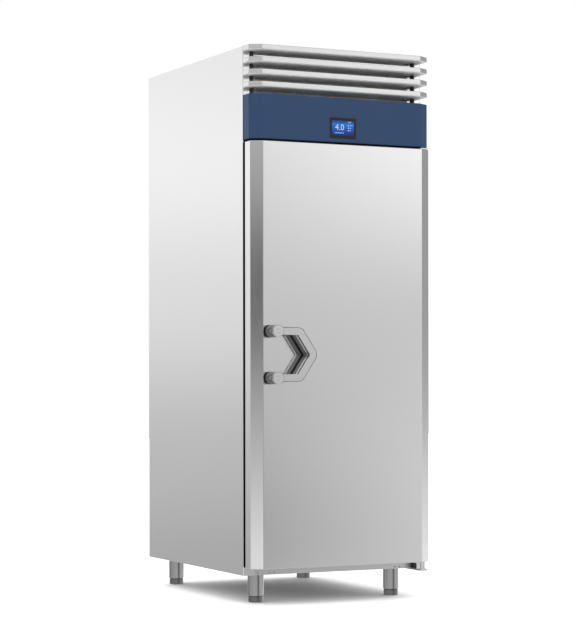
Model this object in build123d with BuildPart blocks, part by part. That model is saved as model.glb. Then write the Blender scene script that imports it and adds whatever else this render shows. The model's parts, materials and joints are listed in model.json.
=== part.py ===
from build123d import *
from math import cos, radians, sin
import os

os.makedirs("parts", exist_ok=True)

# Commercial upright refrigerator, in millimetres.
# +X is the viewer's right, +Y points to the back, +Z is up.
# The origin is on the floor, at the centre of the overall footprint.

# Insulated cabinet
body_width = 790
body_depth = 964
skin = 1.5                # outer steel sheet
liner = 1                 # chamber lining sheet
jamb = 48                 # width of each side panel's front return
rear_return = 30          # width of each side panel's rear return
side_wall = 65            # insulated walls, outer face to chamber face
back_wall = 65
floor_wall = 76
ceiling_wall = 65
chamber_height = 1545
compartment_height = 368  # machine compartment above the insulated box
sill_flange = 15          # folded lower edge of the sill, proud of the strip above it
sill_step = 0.5

# Front frame and door seal
frame_depth = 4           # black frame that the seal closes on
frame_inset = 3           # from the cabinet's outer edges
seal_clearance = 0.3
seal_inset = 20           # from the door's edges to the magnetic bulb
seal_width = 16
seal_lip = 14             # outer lip of the seal, beyond the bulb
seal_lip_depth = 5

# Door
door_gap = 20             # from the cabinet's front edge to the back of the door
door_side = 46.5          # straight part of the door's side
door_chamfer = (43, 24)   # width and depth of the chamfer at each side
door_overlap_bottom = 46  # how far the door covers below and above the opening
door_overlap_top = 61
door_plug_depth = 9       # raised field of the inner pan
door_plug_inset = 22      # from the opening's edges to the raised field

# Door handle
handle_height = 827       # handle centre above the door's bottom edge
handle_boss_inset = 72    # boss centres from the door's left edge
handle_corner = 96        # from the boss centres to the bends of the bar
handle_apex = 156         # from the boss centres to the bar's farthest bend
handle_half_height = 90   # half the distance between the bosses
handle_bend = 18
grip_width = 30
grip_core_width = 27
grip_neck_width = 19
grip_core_depth = 44      # depth of each layer, from the door outwards
grip_band_depth = 14
grip_neck_depth = 8
grip_plate_depth = 6
boss_radius = 24
boss_clearance = 0.2
boss_depth = 70
cap_depth = 8
cap_step = 1.5            # raised centre of the cap, inside a plain rim
cap_rim = 2.5
lug_reach = 29            # lug centre from the boss centre
lug_radius = 6.5
lug_hole_radius = 2.5

# Hinges
pivot_inset = 23          # pivot line from the door's right edge
pivot_back = 37           # pivot line in front of the door's back face
pivot_radius = 7
pivot_clearance = 0.1
pivot_shoulder_radius = 10
bush_radius = 13
bush_length = 30
pin_length = 24
pin_end_gap = 1
hinge_width = 34
hinge_front = 15          # plate in front of the pivot line
hinge_corner = 5
lower_plate = 7
lower_plate_length = 186
upper_plate = 5
upper_flange_height = 52
hinge_notch = 1           # room round the upper flange in the fascia's bottom edge
hinge_step = 0.3          # running gap under the door
stop_post_radius = 8
stop_post_height = 20
stop_post_offset = 10     # to the left of the pivot line
stop_post_gap = 1
stop_post_edge = 1.5

# Control fascia and louvres
fascia_gap = 8
fascia_side = 54.5
fascia_chamfer = (44.5, 27)
fascia_sheet = 2
louvre_count = 4
louvre_thickness = 19
louvre_pitch = 47.4
louvre_sheet = 1.2
louvre_tongue_gap = 2
recess_depth = 70         # from the cabinet's front edge to the air filter
louvre_post_inset = 37.5
louvre_post_radius = 6
bezel_width = 114.5
bezel_height = 79.5
bezel_step = 2.25         # bezel edge beyond its cut-out
bezel_proud = 1.5
bezel_depth = 14
bezel_lift = 57           # display centre above the fascia's bottom edge
screen_width = 97
screen_height = 57
screen_depth = 3
screen_recess = 0.5

# Legs and screw feet
leg_height = 114
leg_inset_side = 92
leg_inset_end = 84
leg_radius = 31.5
leg_bore_radius = 29.6
leg_plug = 5
foot_radius = 29.2
foot_show = 27            # foot below the leg tube
foot_inside = 37          # foot inside the leg tube
foot_edge = 2
stem_radius = 10
stem_clearance = 0.1
stem_top_gap = 2
nut_top_gap = 27          # from the nut ring to the underside of the leg's plug
nut_depth = 14

# Racks for trays
upright = 18
rack_bottom_gap = 60
rack_top_gap = 20         # below the evaporator cover
rack_front_gap = 120      # first upright's centre behind the cabinet's front edge
rack_back_gap = 60        # last upright's centre in front of the chamber's back
hook_slot = (6, 16)       # width and height of the slots that the runners hook into
hook_slot_depth = 8
runner_pitch = 102
runner_first = 45         # above the uprights' lower ends
runner_leg = 20
runner_shelf = 34
runner_sheet = 1.5
runner_end_gap = 20

# Evaporator
evaporator_height = 165
evaporator_side_gap = 30
evaporator_front_gap = 170
evaporator_fan_setback = 150
evaporator_fan_radius = 110
evaporator_coil_side_gap = 70
evaporator_coil_depth = 190
evaporator_coil_height = 115
evaporator_coil_gap = 20
return_slot = 94          # slots in the cover, under the coil
return_columns = 4
return_rows = 5
return_setback = 84
fan_tip_gap = 6
fan_setback = 6           # condenser fan behind its coil
fan_hub_radius = 38
fan_hub_length = 30
hub_bore_depth = 21
blade_count = 5
blade_sheet = 3
blade_chord = 62          # at the tip
blade_root_chord = 38
blade_lean = 24           # degrees at the tip
blade_twist = 12          # degrees more at the root
motor_radius = 42
motor_length = 55
motor_edge = 4
motor_gap = 5
motor_stem_radius = 21
shaft_radius = 5
shaft_clearance = 0.1
shaft_depth = 18          # shaft inside the hub
arm_width = 14            # arms that carry the condenser fan's motor
arm_depth = 4
fin_sheet = 3
fin_pitch = 11
fin_spine = 6

# Machine compartment
filter_depth = 12
filter_frame = 20
filter_pocket = 4
condenser_side_gap = 205  # from the cabinet's sides
condenser_height = 290
condenser_depth = 60
condenser_gap = 12
condenser_fan_radius = 130
shroud_sheet = 2
shroud_ring = 22
compressor_radius = 95
compressor_height = 210
compressor_foot = 18
compressor_dome = 34      # sloped shoulder at the top
compressor_heel = 16
compressor_base = 4
compressor_base_margin = 5
compressor_foot_radius = 12
compressor_foot_inset = 10
compressor_inset = 180    # centre from the cabinet's left side
compressor_setback = 190  # from the rear grille
receiver_radius = 48
receiver_height = 190
receiver_edge = 15
receiver_x = 40
receiver_setback = 150
drier_radius = 16
drier_length = 110
drier_lift = 60
drier_taper = 8
pipe_radius = 6
pipe_bend = 20
pipe_top_gap = 30         # overhead runs below the compartment's top
port_offset = 20
suction_height = 80
suction_reach = 60
u_bend_rise = 45
box_width = 190
box_depth = 130
box_height = 240
box_lid = 6
box_inset = 130           # centre from the cabinet's right side
grille_setback = 20       # rear grille in front of the cabinet's back edge
slot_length = 110
slot_width = 8
slot_columns = 5
slot_rows = 9
slot_pitch = 28
gland_radius = 13
gland_neck_radius = 10
gland_length = 17
gland_bore_radius = 5.5
gland_inset = 95          # centre from the cabinet's right side
gland_height = 60
drain_tube_radius = 13    # through the insulated floor
drain_radius = 12.5       # outlet stub for a hose
drain_bore_radius = 11
drain_flange_radius = 19
drain_flange = 4
drain_show = 26           # flange and stub below the cabinet
drain_setback = 120
light_half_length = 180
light_width = 30
light_depth = 14
light_setback = 60

# Places that follow from the sizes
half = body_width / 2
chamber_half = half - side_wall
door_depth = door_side + door_chamfer[1]
handle_reach = boss_depth + cap_depth
front_reach = door_gap + door_depth + handle_reach
y_face = (front_reach - body_depth) / 2
y_back = y_face + body_depth
y_chamber_back = y_back - back_wall
y_door_back = y_face - door_gap
y_door = y_door_back - door_depth
y_pivot = y_door_back - pivot_back
y_filter = y_face + recess_depth
y_grille = y_back - grille_setback
z_body = leg_height
z_floor = z_body + floor_wall
z_ceiling = z_floor + chamber_height
z_deck = z_ceiling + ceiling_wall
z_top = z_deck + compartment_height
z_door = z_floor - door_overlap_bottom
z_door_top = z_ceiling + door_overlap_top
z_fascia = z_door_top + fascia_gap
z_fascia_top = z_top - louvre_count * louvre_pitch
x_pivot = half - pivot_inset
x_compressor = compressor_inset - half
x_box = half - box_inset
x_gland = half - gland_inset
hinge_x = (x_pivot - hinge_width / 2, x_pivot + hinge_width / 2)
evaporator_half_width = chamber_half - evaporator_side_gap
condenser_half_width = half - condenser_side_gap


def block(x, y, z, mode=Mode.ADD):
    """A rectangular block between the low and high values on each axis."""
    with Locations(((x[0] + x[1]) / 2, (y[0] + y[1]) / 2, (z[0] + z[1]) / 2)):
        Box(x[1] - x[0], y[1] - y[0], z[1] - z[0], mode=mode)


def post(x, y, z, radius, mode=Mode.ADD):
    """An upright cylinder at x, y between two heights."""
    with Locations((x, y, (z[0] + z[1]) / 2)):
        Cylinder(radius, z[1] - z[0], mode=mode)


def facing_front(y):
    """Sketch plane at depth y that faces the viewer, so that its own Y is up."""
    return Plane.XZ.offset(-y)


def chamfered_plan(y_rear, side, chamfer):
    """Plan outline of the door, fascia and louvres: straight sides, then a chamfer at each front corner."""
    width, depth = chamfer
    with BuildLine() as outline:
        Polyline(
            (-half, y_rear),
            (-half, y_rear - side),
            (-half + width, y_rear - side - depth),
            (half - width, y_rear - side - depth),
            (half, y_rear - side),
            (half, y_rear),
            close=True,
        )
    make_face(outline.edges())


# Cabinet skins and insulation

def side_panel(side):
    """Folded side panel with a wide return at the front and a narrow one at the back."""
    outer = side * half
    with BuildPart() as panel:
        with BuildSketch(Plane.XY.offset(z_body)):
            with BuildLine():
                Polyline(
                    (outer - side * jamb, y_face),
                    (outer, y_face),
                    (outer, y_back),
                    (outer - side * rear_return, y_back),
                    (outer - side * rear_return, y_back - skin),
                    (outer - side * skin, y_back - skin),
                    (outer - side * skin, y_face + skin),
                    (outer - side * jamb, y_face + skin),
                    close=True,
                )
            make_face()
        extrude(amount=z_top - z_body)
    return panel


left_side_panel = side_panel(-1)
right_side_panel = side_panel(1)

inside_half = half - skin
foam_front = y_face + skin
foam_back = y_back - 2 * skin
y_drain = y_chamber_back - drain_setback
z_fold = z_body + sill_flange

with BuildPart() as base_panel:
    block((-inside_half, inside_half), (foam_front, y_back - skin), (z_body, z_body + skin))
    block((jamb - half, half - jamb), (y_face, foam_front), (z_body, z_fold))
    block((jamb - half, half - jamb), (y_face + sill_step, foam_front), (z_fold, z_floor - liner))
    post(0, y_drain, (z_body, z_body + skin), drain_tube_radius, Mode.SUBTRACT)

with BuildPart() as back_panel:
    block((-inside_half, inside_half), (foam_back, y_back - skin), (z_body + skin, z_deck))

with BuildPart() as insulation:
    block((-inside_half, inside_half), (foam_front, foam_back), (z_body + skin, z_deck - skin))
    block(
        (-chamber_half - liner, chamber_half + liner),
        (foam_front, y_chamber_back + liner),
        (z_floor - liner, z_ceiling + liner),
        Mode.SUBTRACT,
    )
    post(0, y_drain, (z_body, z_floor), drain_tube_radius, Mode.SUBTRACT)

with BuildPart() as compartment_deck:
    block((-inside_half, inside_half), (foam_front, foam_back), (z_deck - skin, z_deck))
    block((jamb - half, half - jamb), (y_face, foam_front), (z_ceiling + liner, z_deck))

# Chamber lining
with BuildPart() as chamber_floor:
    block(
        (-chamber_half - liner, chamber_half + liner),
        (foam_front, y_chamber_back + liner),
        (z_floor - liner, z_floor),
    )
    post(0, y_drain, (z_floor - liner, z_floor), drain_bore_radius, Mode.SUBTRACT)

with BuildPart() as chamber_ceiling:
    block(
        (-chamber_half - liner, chamber_half + liner),
        (foam_front, y_chamber_back + liner),
        (z_ceiling, z_ceiling + liner),
    )

with BuildPart() as chamber_left_wall:
    block((-chamber_half - liner, -chamber_half), (foam_front, y_chamber_back), (z_floor, z_ceiling))

with BuildPart() as chamber_right_wall:
    block((chamber_half, chamber_half + liner), (foam_front, y_chamber_back), (z_floor, z_ceiling))

with BuildPart() as chamber_back_wall:
    block(
        (-chamber_half - liner, chamber_half + liner),
        (y_chamber_back, y_chamber_back + liner),
        (z_floor, z_ceiling),
    )

# The black frame covers the skins' edges: two uprights with a head and a sill strip between them.
frame_outer = half - frame_inset
frame_y = (y_face - frame_depth, y_face)
frame_z = (z_door + frame_inset, z_door_top - frame_inset)
with BuildPart() as front_frame:
    for side in (-1, 1):
        block(sorted((side * frame_outer, side * chamber_half)), frame_y, frame_z)
        block(sorted((side * (half - jamb), side * chamber_half)), (y_face, foam_front), (z_floor, z_ceiling))
    block((-chamber_half, chamber_half), frame_y, (frame_z[0], z_floor))
    block((-chamber_half, chamber_half), frame_y, (z_ceiling, frame_z[1]))

# Machine compartment shell
with BuildPart() as roof_panel:
    block((-inside_half, inside_half), (y_filter, y_grille - skin), (z_top - skin, z_top))

with BuildPart() as rear_grille:
    block((-inside_half, inside_half), (y_grille - skin, y_grille), (z_deck, z_top))
    with BuildSketch(facing_front(y_grille)):
        with Locations((0, z_deck + compartment_height / 2)):
            with GridLocations(slot_length + slot_pitch, slot_pitch, slot_columns, slot_rows):
                Rectangle(slot_length, slot_width)
        with Locations((x_gland, z_deck + gland_height / 2)):
            Circle(gland_neck_radius)
    extrude(amount=skin, mode=Mode.SUBTRACT)

with BuildPart() as air_filter:
    block((-inside_half, inside_half), (y_filter, y_filter + filter_depth), (z_deck, z_top - skin))
    with BuildSketch(facing_front(y_filter)):
        with Locations((0, (z_deck + z_top - skin) / 2)):
            Rectangle(2 * (inside_half - filter_frame), compartment_height - skin - 2 * filter_frame)
    extrude(amount=-filter_pocket, mode=Mode.SUBTRACT)

# Condensing unit
y_condenser = y_filter + filter_depth + condenser_gap
y_shroud = y_condenser + condenser_depth
z_condenser_fan = z_deck + condenser_height / 2


def finned_coil(half_width, depth, height, y, z):
    """Finned coil as one comb: a spine at the back with a row of fins across the width."""
    fin_count = int((2 * half_width - fin_sheet) // fin_pitch) + 1
    with BuildPart() as coil:
        with BuildSketch(Plane.XY.offset(z)):
            with Locations((0, y + depth - fin_spine / 2)):
                Rectangle(2 * half_width, fin_spine)
            with Locations((0, y + depth / 2)):
                with GridLocations(fin_pitch, depth, fin_count, 1):
                    Rectangle(fin_sheet, depth)
        extrude(amount=height)
    return coil


condenser_coil = finned_coil(condenser_half_width, condenser_depth, condenser_height, y_condenser, z_deck)

with BuildPart() as condenser_shroud:
    block(
        (-condenser_half_width, condenser_half_width),
        (y_shroud, y_shroud + shroud_sheet),
        (z_deck, z_deck + condenser_height),
    )
    with BuildSketch(facing_front(y_shroud)):
        with Locations((0, z_condenser_fan)):
            Circle(condenser_fan_radius + fan_tip_gap + shroud_sheet)
    extrude(amount=-shroud_ring - shroud_sheet)
    with BuildSketch(facing_front(y_shroud)):
        with Locations((0, z_condenser_fan)):
            Circle(condenser_fan_radius + fan_tip_gap)
    extrude(amount=-shroud_ring - shroud_sheet, mode=Mode.SUBTRACT)


def across_blade(radius, pitch):
    """Plane across a blade at a radius, turned about the blade's length by its pitch in degrees."""
    return Plane(origin=(radius, 0, 0), x_dir=(0, cos(radians(pitch)), sin(radians(pitch))), z_dir=(1, 0, 0))


def fan_rotor(tip_radius):
    """Axial fan along Z: twisted blades on a hub with a blind bore from above."""
    with BuildPart() as one_blade:
        with BuildSketch(across_blade(fan_hub_radius - blade_sheet, blade_lean + blade_twist)):
            Rectangle(blade_root_chord, blade_sheet)
        with BuildSketch(across_blade(tip_radius, blade_lean)):
            Rectangle(blade_chord, blade_sheet)
        loft()
    with BuildPart() as rotor:
        Cylinder(fan_hub_radius, fan_hub_length)
        with PolarLocations(0, blade_count):
            add(one_blade.part)
        with Locations((0, 0, fan_hub_length / 2)):
            Hole(shaft_radius + shaft_clearance, depth=hub_bore_depth)
    return rotor


def fan_motor(length, reach):
    """Motor above its fan: a can with a shaft down into the hub, and a stem of the given reach above it."""
    with BuildPart() as motor:
        post(0, 0, (0, length), motor_radius)
        chamfer(motor.edges().filter_by(GeomType.CIRCLE), length=motor_edge)
        post(0, 0, (-motor_gap - shaft_depth, 0), shaft_radius)
        post(0, 0, (length, length + reach), motor_stem_radius)
    return motor


condenser_rotor = fan_rotor(condenser_fan_radius)
condenser_motor = fan_motor(motor_length, 0)
y_condenser_fan = y_shroud + fan_setback + fan_hub_length / 2
fan_to_front = Location(
    Plane(origin=(0, y_condenser_fan, z_condenser_fan), x_dir=(1, 0, 0), z_dir=(0, 1, 0))
)

with BuildPart() as condenser_fan:
    with Locations(fan_to_front):
        add(condenser_rotor.part)

y_condenser_motor = y_condenser_fan + fan_hub_length / 2 + motor_gap
motor_to_front = Location(
    Plane(origin=(0, y_condenser_motor, z_condenser_fan), x_dir=(1, 0, 0), z_dir=(0, 1, 0))
)
arm_reach = condenser_fan_radius + fan_tip_gap + 2 * shroud_sheet
y_arm = y_condenser_motor + motor_length / 2
with BuildPart() as condenser_fan_motor:
    with Locations(motor_to_front):
        add(condenser_motor.part)
    for side in (-1, 1):
        block(
            sorted((side * (motor_radius - arm_depth), side * arm_reach)),
            (y_arm, y_arm + arm_depth),
            (z_condenser_fan - arm_width / 2, z_condenser_fan + arm_width / 2),
        )
        block(
            sorted((side * (arm_reach - arm_depth), side * arm_reach)),
            (y_shroud + shroud_sheet + shroud_ring, y_arm + arm_depth),
            (z_condenser_fan - arm_width / 2, z_condenser_fan + arm_width / 2),
        )

y_compressor = y_grille - compressor_setback
z_pot = z_deck + compressor_foot
base_reach = compressor_radius + compressor_base_margin
foot_spacing = 2 * (compressor_radius - compressor_foot_inset)
with BuildPart() as compressor:
    post(x_compressor, y_compressor, (z_pot, z_pot + compressor_height), compressor_radius)
    chamfer(compressor.edges().filter_by(GeomType.CIRCLE).sort_by(Axis.Z)[-1], length=compressor_dome)
    chamfer(compressor.edges().filter_by(GeomType.CIRCLE).sort_by(Axis.Z)[0], length=compressor_heel)
    block(
        (x_compressor - base_reach, x_compressor + base_reach),
        (y_compressor - base_reach, y_compressor + base_reach),
        (z_pot - compressor_base, z_pot + compressor_base),
    )
    with Locations((x_compressor, y_compressor, z_deck + compressor_foot / 2)):
        with GridLocations(foot_spacing, foot_spacing, 2, 2):
            Cylinder(compressor_foot_radius, compressor_foot)

y_receiver = y_grille - receiver_setback
with BuildPart() as liquid_receiver:
    post(receiver_x, y_receiver, (z_deck, z_deck + receiver_height), receiver_radius)
    chamfer(liquid_receiver.edges().filter_by(GeomType.CIRCLE).sort_by(Axis.Z)[-1], length=receiver_edge)

z_drier = z_deck + drier_lift
x_drier = receiver_x + receiver_radius + drier_radius
with BuildPart() as filter_drier:
    post(x_drier, y_receiver, (z_drier, z_drier + drier_length), drier_radius)
    chamfer(filter_drier.edges().filter_by(GeomType.CIRCLE), length=drier_taper)


def pipe(points):
    """Round pipe along straight runs with equal bends."""
    with BuildPart() as run:
        with BuildLine() as route:
            FilletPolyline(*points, radius=pipe_bend)
        with BuildSketch(Plane(origin=route.line @ 0, z_dir=route.line % 0)):
            Circle(pipe_radius)
        sweep()
    return run


z_discharge = z_pot + compressor_height
z_overhead = z_top - pipe_top_gap
z_manifold = z_deck + condenser_height
x_manifold = condenser_half_width - fin_pitch
y_manifold = y_condenser + condenser_depth - fin_spine / 2
z_receiver = z_deck + receiver_height
z_suction = z_deck + suction_height
x_suction = x_compressor + compressor_radius
discharge_line = pipe([
    (x_compressor, y_compressor, z_discharge),
    (x_compressor, y_compressor, z_overhead),
    (-x_manifold, y_manifold, z_overhead),
    (-x_manifold, y_manifold, z_manifold),
])
condenser_line = pipe([
    (receiver_x - port_offset, y_receiver, z_receiver),
    (receiver_x - port_offset, y_receiver, z_overhead),
    (x_manifold, y_manifold, z_overhead),
    (x_manifold, y_manifold, z_manifold),
])
receiver_line = pipe([
    (receiver_x + port_offset, y_receiver, z_receiver),
    (receiver_x + port_offset, y_receiver, z_receiver + u_bend_rise),
    (x_drier, y_receiver, z_receiver + u_bend_rise),
    (x_drier, y_receiver, z_drier + drier_length),
])
suction_line = pipe([
    (x_suction, y_compressor, z_suction),
    (x_suction + suction_reach, y_compressor, z_suction),
    (x_suction + suction_reach, y_compressor, z_deck),
])
with BuildPart() as refrigerant_pipes:
    add(discharge_line.part)
    add(condenser_line.part)
    add(receiver_line.part)
    add(suction_line.part)
    post(x_drier, y_receiver, (z_deck, z_drier), pipe_radius)

y_box = y_grille - skin - box_depth
with BuildPart() as electrical_box:
    block(
        (x_box - box_width / 2, x_box + box_width / 2),
        (y_box, y_grille - skin),
        (z_deck, z_deck + box_height),
    )
    block(
        (x_box - box_width / 2 - box_lid, x_box + box_width / 2 + box_lid),
        (y_box - box_lid, y_box),
        (z_deck, z_deck + box_height + box_lid),
    )

with BuildPart() as cable_gland:
    with BuildSketch(facing_front(y_grille)):
        with Locations((x_gland, z_deck + gland_height / 2)):
            RegularPolygon(gland_radius, 6)
    extrude(amount=-gland_length / 2)
    with BuildSketch(facing_front(y_grille)):
        with Locations((x_gland, z_deck + gland_height / 2)):
            Circle(gland_neck_radius)
    extrude(amount=-gland_length)
    with BuildSketch(facing_front(y_grille)):
        with Locations((x_gland, z_deck + gland_height / 2)):
            Circle(gland_bore_radius)
    extrude(amount=-gland_length, mode=Mode.SUBTRACT)

# Chamber fittings
with BuildPart() as drain_pipe:
    post(0, y_drain, (z_body, z_floor - liner), drain_tube_radius)
    post(0, y_drain, (z_body - drain_flange, z_body), drain_flange_radius)
    post(0, y_drain, (z_body - drain_show, z_body - drain_flange), drain_radius)
    post(0, y_drain, (z_body - drain_show, z_floor - liner), drain_bore_radius, Mode.SUBTRACT)

with BuildPart() as chamber_light:
    block(
        (-light_half_length, light_half_length),
        (y_face + light_setback, y_face + light_setback + light_width),
        (z_ceiling - light_depth, z_ceiling),
    )
    chamfer(chamber_light.edges().filter_by(Axis.X).group_by(Axis.Z)[0], length=light_depth / 2)

z_rack = (z_floor + rack_bottom_gap, z_ceiling - evaporator_height - rack_top_gap)
y_uprights = (y_face + rack_front_gap, y_chamber_back - rack_back_gap)
x_rail = chamber_half - upright
z_first_shelf = z_rack[0] + runner_first
runner_count = 1 + int((z_rack[1] - z_first_shelf - runner_leg) // runner_pitch)
z_hook_slots = z_first_shelf + (runner_leg + (runner_count - 1) * runner_pitch) / 2
with BuildPart() as rack_uprights:
    for side in (-1, 1):
        for y in y_uprights:
            block(
                sorted((side * chamber_half, side * (chamber_half - upright))),
                (y - upright / 2, y + upright / 2),
                z_rack,
            )
        with BuildSketch(Plane.YZ.offset(side * x_rail)):
            for y in y_uprights:
                with Locations((y, z_hook_slots)):
                    with GridLocations(upright, runner_pitch, 1, runner_count - 1):
                        Rectangle(*hook_slot)
        extrude(amount=side * hook_slot_depth, mode=Mode.SUBTRACT)

with BuildPart() as tray_runners:
    for level in range(runner_count):
        z_shelf = z_first_shelf + level * runner_pitch
        for side in (-1, 1):
            with BuildSketch(facing_front(y_uprights[0] - runner_end_gap)):
                with BuildLine():
                    Polyline(
                        (side * x_rail, z_shelf - runner_sheet),
                        (side * (x_rail - runner_shelf), z_shelf - runner_sheet),
                        (side * (x_rail - runner_shelf), z_shelf),
                        (side * (x_rail - runner_sheet), z_shelf),
                        (side * (x_rail - runner_sheet), z_shelf + runner_leg),
                        (side * x_rail, z_shelf + runner_leg),
                        close=True,
                    )
                make_face()
    extrude(amount=-(y_uprights[1] - y_uprights[0] + 2 * runner_end_gap))

# Evaporator on the chamber ceiling
y_cover = y_face + evaporator_front_gap
z_cover = z_ceiling - evaporator_height
y_fan = y_cover + evaporator_fan_setback
with BuildPart() as evaporator_cover:
    block((-evaporator_half_width, evaporator_half_width), (y_cover, y_chamber_back), (z_cover, z_ceiling))
    block(
        (-evaporator_half_width + skin, evaporator_half_width - skin),
        (y_cover + skin, y_chamber_back),
        (z_cover + skin, z_ceiling),
        Mode.SUBTRACT,
    )
    post(0, y_fan, (z_cover, z_cover + skin), evaporator_fan_radius + fan_tip_gap, Mode.SUBTRACT)
    with BuildSketch(Plane.XY.offset(z_cover)):
        with Locations((0, y_chamber_back - return_setback)):
            with GridLocations(return_slot + 2 * slot_width, 2 * slot_width, return_columns, return_rows):
                Rectangle(return_slot, slot_width)
    extrude(amount=skin, mode=Mode.SUBTRACT)

y_coil = y_chamber_back - evaporator_coil_gap - evaporator_coil_depth
evaporator_coil = finned_coil(
    evaporator_half_width - evaporator_coil_side_gap,
    evaporator_coil_depth,
    evaporator_coil_height,
    y_coil,
    z_ceiling - evaporator_coil_height,
)

z_fan = z_cover + skin + fan_hub_length / 2
z_motor = z_fan + fan_hub_length / 2 + motor_gap
evaporator_rotor = fan_rotor(evaporator_fan_radius)
evaporator_motor = fan_motor(motor_length, z_ceiling - z_motor - motor_length)
with BuildPart() as evaporator_fan:
    with Locations((0, y_fan, z_fan)):
        add(evaporator_rotor.part)

with BuildPart() as evaporator_fan_motor:
    with Locations((0, y_fan, z_motor)):
        add(evaporator_motor.part)

# Control fascia and louvres
z_display = z_fascia + bezel_lift
cut_width = bezel_width - 2 * bezel_step
cut_height = bezel_height - 2 * bezel_step
y_fascia = y_face - fascia_side - fascia_chamfer[1]
with BuildPart() as fascia_panel:
    with BuildSketch(Plane.XY.offset(z_fascia)):
        chamfered_plan(y_face, fascia_side, fascia_chamfer)
    extrude(amount=z_fascia_top - z_fascia)
    offset(amount=-fascia_sheet, openings=fascia_panel.faces().sort_by(Axis.Y)[-1])
    with BuildSketch(facing_front(y_fascia)):
        with Locations((0, z_display)):
            Rectangle(cut_width, cut_height)
    extrude(amount=-fascia_sheet, mode=Mode.SUBTRACT)
    block(
        (hinge_x[0] - hinge_notch, hinge_x[1] + hinge_notch),
        (y_face - frame_depth - hinge_notch, y_face),
        (z_fascia, z_fascia + fascia_sheet),
        Mode.SUBTRACT,
    )

with BuildPart() as display_bezel:
    with BuildSketch(facing_front(y_fascia)):
        with Locations((0, z_display)):
            Rectangle(bezel_width, bezel_height)
    extrude(amount=bezel_proud)
    with BuildSketch(facing_front(y_fascia)):
        with Locations((0, z_display)):
            Rectangle(cut_width, cut_height)
    extrude(amount=-bezel_depth)
    with BuildSketch(facing_front(y_fascia - bezel_proud)):
        with Locations((0, z_display)):
            Rectangle(screen_width, screen_height)
    extrude(amount=-screen_depth - screen_recess, mode=Mode.SUBTRACT)

with BuildPart() as display_screen:
    with BuildSketch(facing_front(y_fascia - bezel_proud + screen_recess)):
        with Locations((0, z_display)):
            Rectangle(screen_width, screen_height)
    extrude(amount=-screen_depth)

tongue_half = half - jamb - louvre_tongue_gap


def louvre(level):
    """Hollow folded blade: the fascia's outline in front, and a tongue that reaches back to the air filter."""
    z_blade = z_top - level * louvre_pitch - louvre_thickness
    with BuildPart() as folded_blade:
        with BuildSketch(Plane.XY.offset(z_blade)):
            chamfered_plan(y_face, fascia_side, fascia_chamfer)
            with Locations((0, y_face + recess_depth / 2)):
                Rectangle(2 * tongue_half, recess_depth)
        extrude(amount=louvre_thickness)
        offset(amount=-louvre_sheet, openings=folded_blade.faces().sort_by(Axis.Y)[-1])
    return folded_blade


louvres = [louvre(level) for level in range(louvre_count)]

louvre_gap = louvre_pitch - louvre_thickness
with BuildPart() as louvre_posts:
    for level in range(louvre_count):
        z_gap = z_top - (level + 1) * louvre_pitch
        for side in (-1, 1):
            post(
                side * (half - louvre_post_inset),
                y_face - louvre_post_radius,
                (z_gap, z_gap + louvre_gap),
                louvre_post_radius,
            )

# Hinges: plates on the cabinet, with pins that stand into the door's bushes
y_hinge = y_pivot - hinge_front
z_lower_plate = z_body - lower_plate
with BuildPart() as lower_hinge:
    block(hinge_x, (y_hinge, y_hinge + lower_plate_length), (z_lower_plate, z_body))
    fillet(lower_hinge.edges().filter_by(Axis.Z).group_by(Axis.Y)[0], radius=hinge_corner)
    post(x_pivot, y_pivot, (z_body, z_door - hinge_step), pivot_shoulder_radius)
    post(x_pivot, y_pivot, (z_door - hinge_step, z_door + pin_length), pivot_radius)

z_upper_plate = z_door_top + (fascia_gap - upper_plate) / 2
with BuildPart() as upper_hinge:
    block(hinge_x, (y_hinge, y_face - frame_depth), (z_upper_plate, z_upper_plate + upper_plate))
    block(hinge_x, (y_face - frame_depth, y_face), (z_upper_plate, z_upper_plate + upper_flange_height))
    post(x_pivot, y_pivot, (z_door_top - pin_length, z_upper_plate), pivot_radius)

with BuildPart() as hinge_stop_post:
    post(
        x_pivot - stop_post_offset,
        y_face - stop_post_gap - stop_post_radius,
        (z_body, z_body + stop_post_height),
        stop_post_radius,
    )
    chamfer(hinge_stop_post.edges().filter_by(GeomType.CIRCLE).sort_by(Axis.Z)[-1], length=stop_post_edge)

# Legs and screw feet
leg_places = {
    "front_left_foot": (leg_inset_side - half, y_face + leg_inset_end),
    "front_right_foot": (half - leg_inset_side, y_face + leg_inset_end),
    "rear_left_foot": (leg_inset_side - half, y_back - leg_inset_end),
    "rear_right_foot": (half - leg_inset_side, y_back - leg_inset_end),
}
z_nut = z_body - leg_plug - nut_top_gap - nut_depth
with BuildPart() as leg_tubes:
    for x, y in leg_places.values():
        post(x, y, (foot_show, z_body), leg_radius)
    for x, y in leg_places.values():
        post(x, y, (foot_show, z_nut), leg_bore_radius, Mode.SUBTRACT)
        post(x, y, (z_nut + nut_depth, z_body - leg_plug), leg_bore_radius, Mode.SUBTRACT)
        post(x, y, (z_nut, z_nut + nut_depth), stem_radius + stem_clearance, Mode.SUBTRACT)


def screw_foot(x, y):
    """Foot that slides in the leg tube, with a stem up through the tube's nut."""
    with BuildPart() as foot:
        post(x, y, (0, foot_show + foot_inside), foot_radius)
        chamfer(foot.edges().filter_by(GeomType.CIRCLE).sort_by(Axis.Z)[0], length=foot_edge)
        post(x, y, (foot_show + foot_inside, z_body - leg_plug - stem_top_gap), stem_radius)
    return foot


feet = {name: screw_foot(x, y) for name, (x, y) in leg_places.items()}

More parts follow.
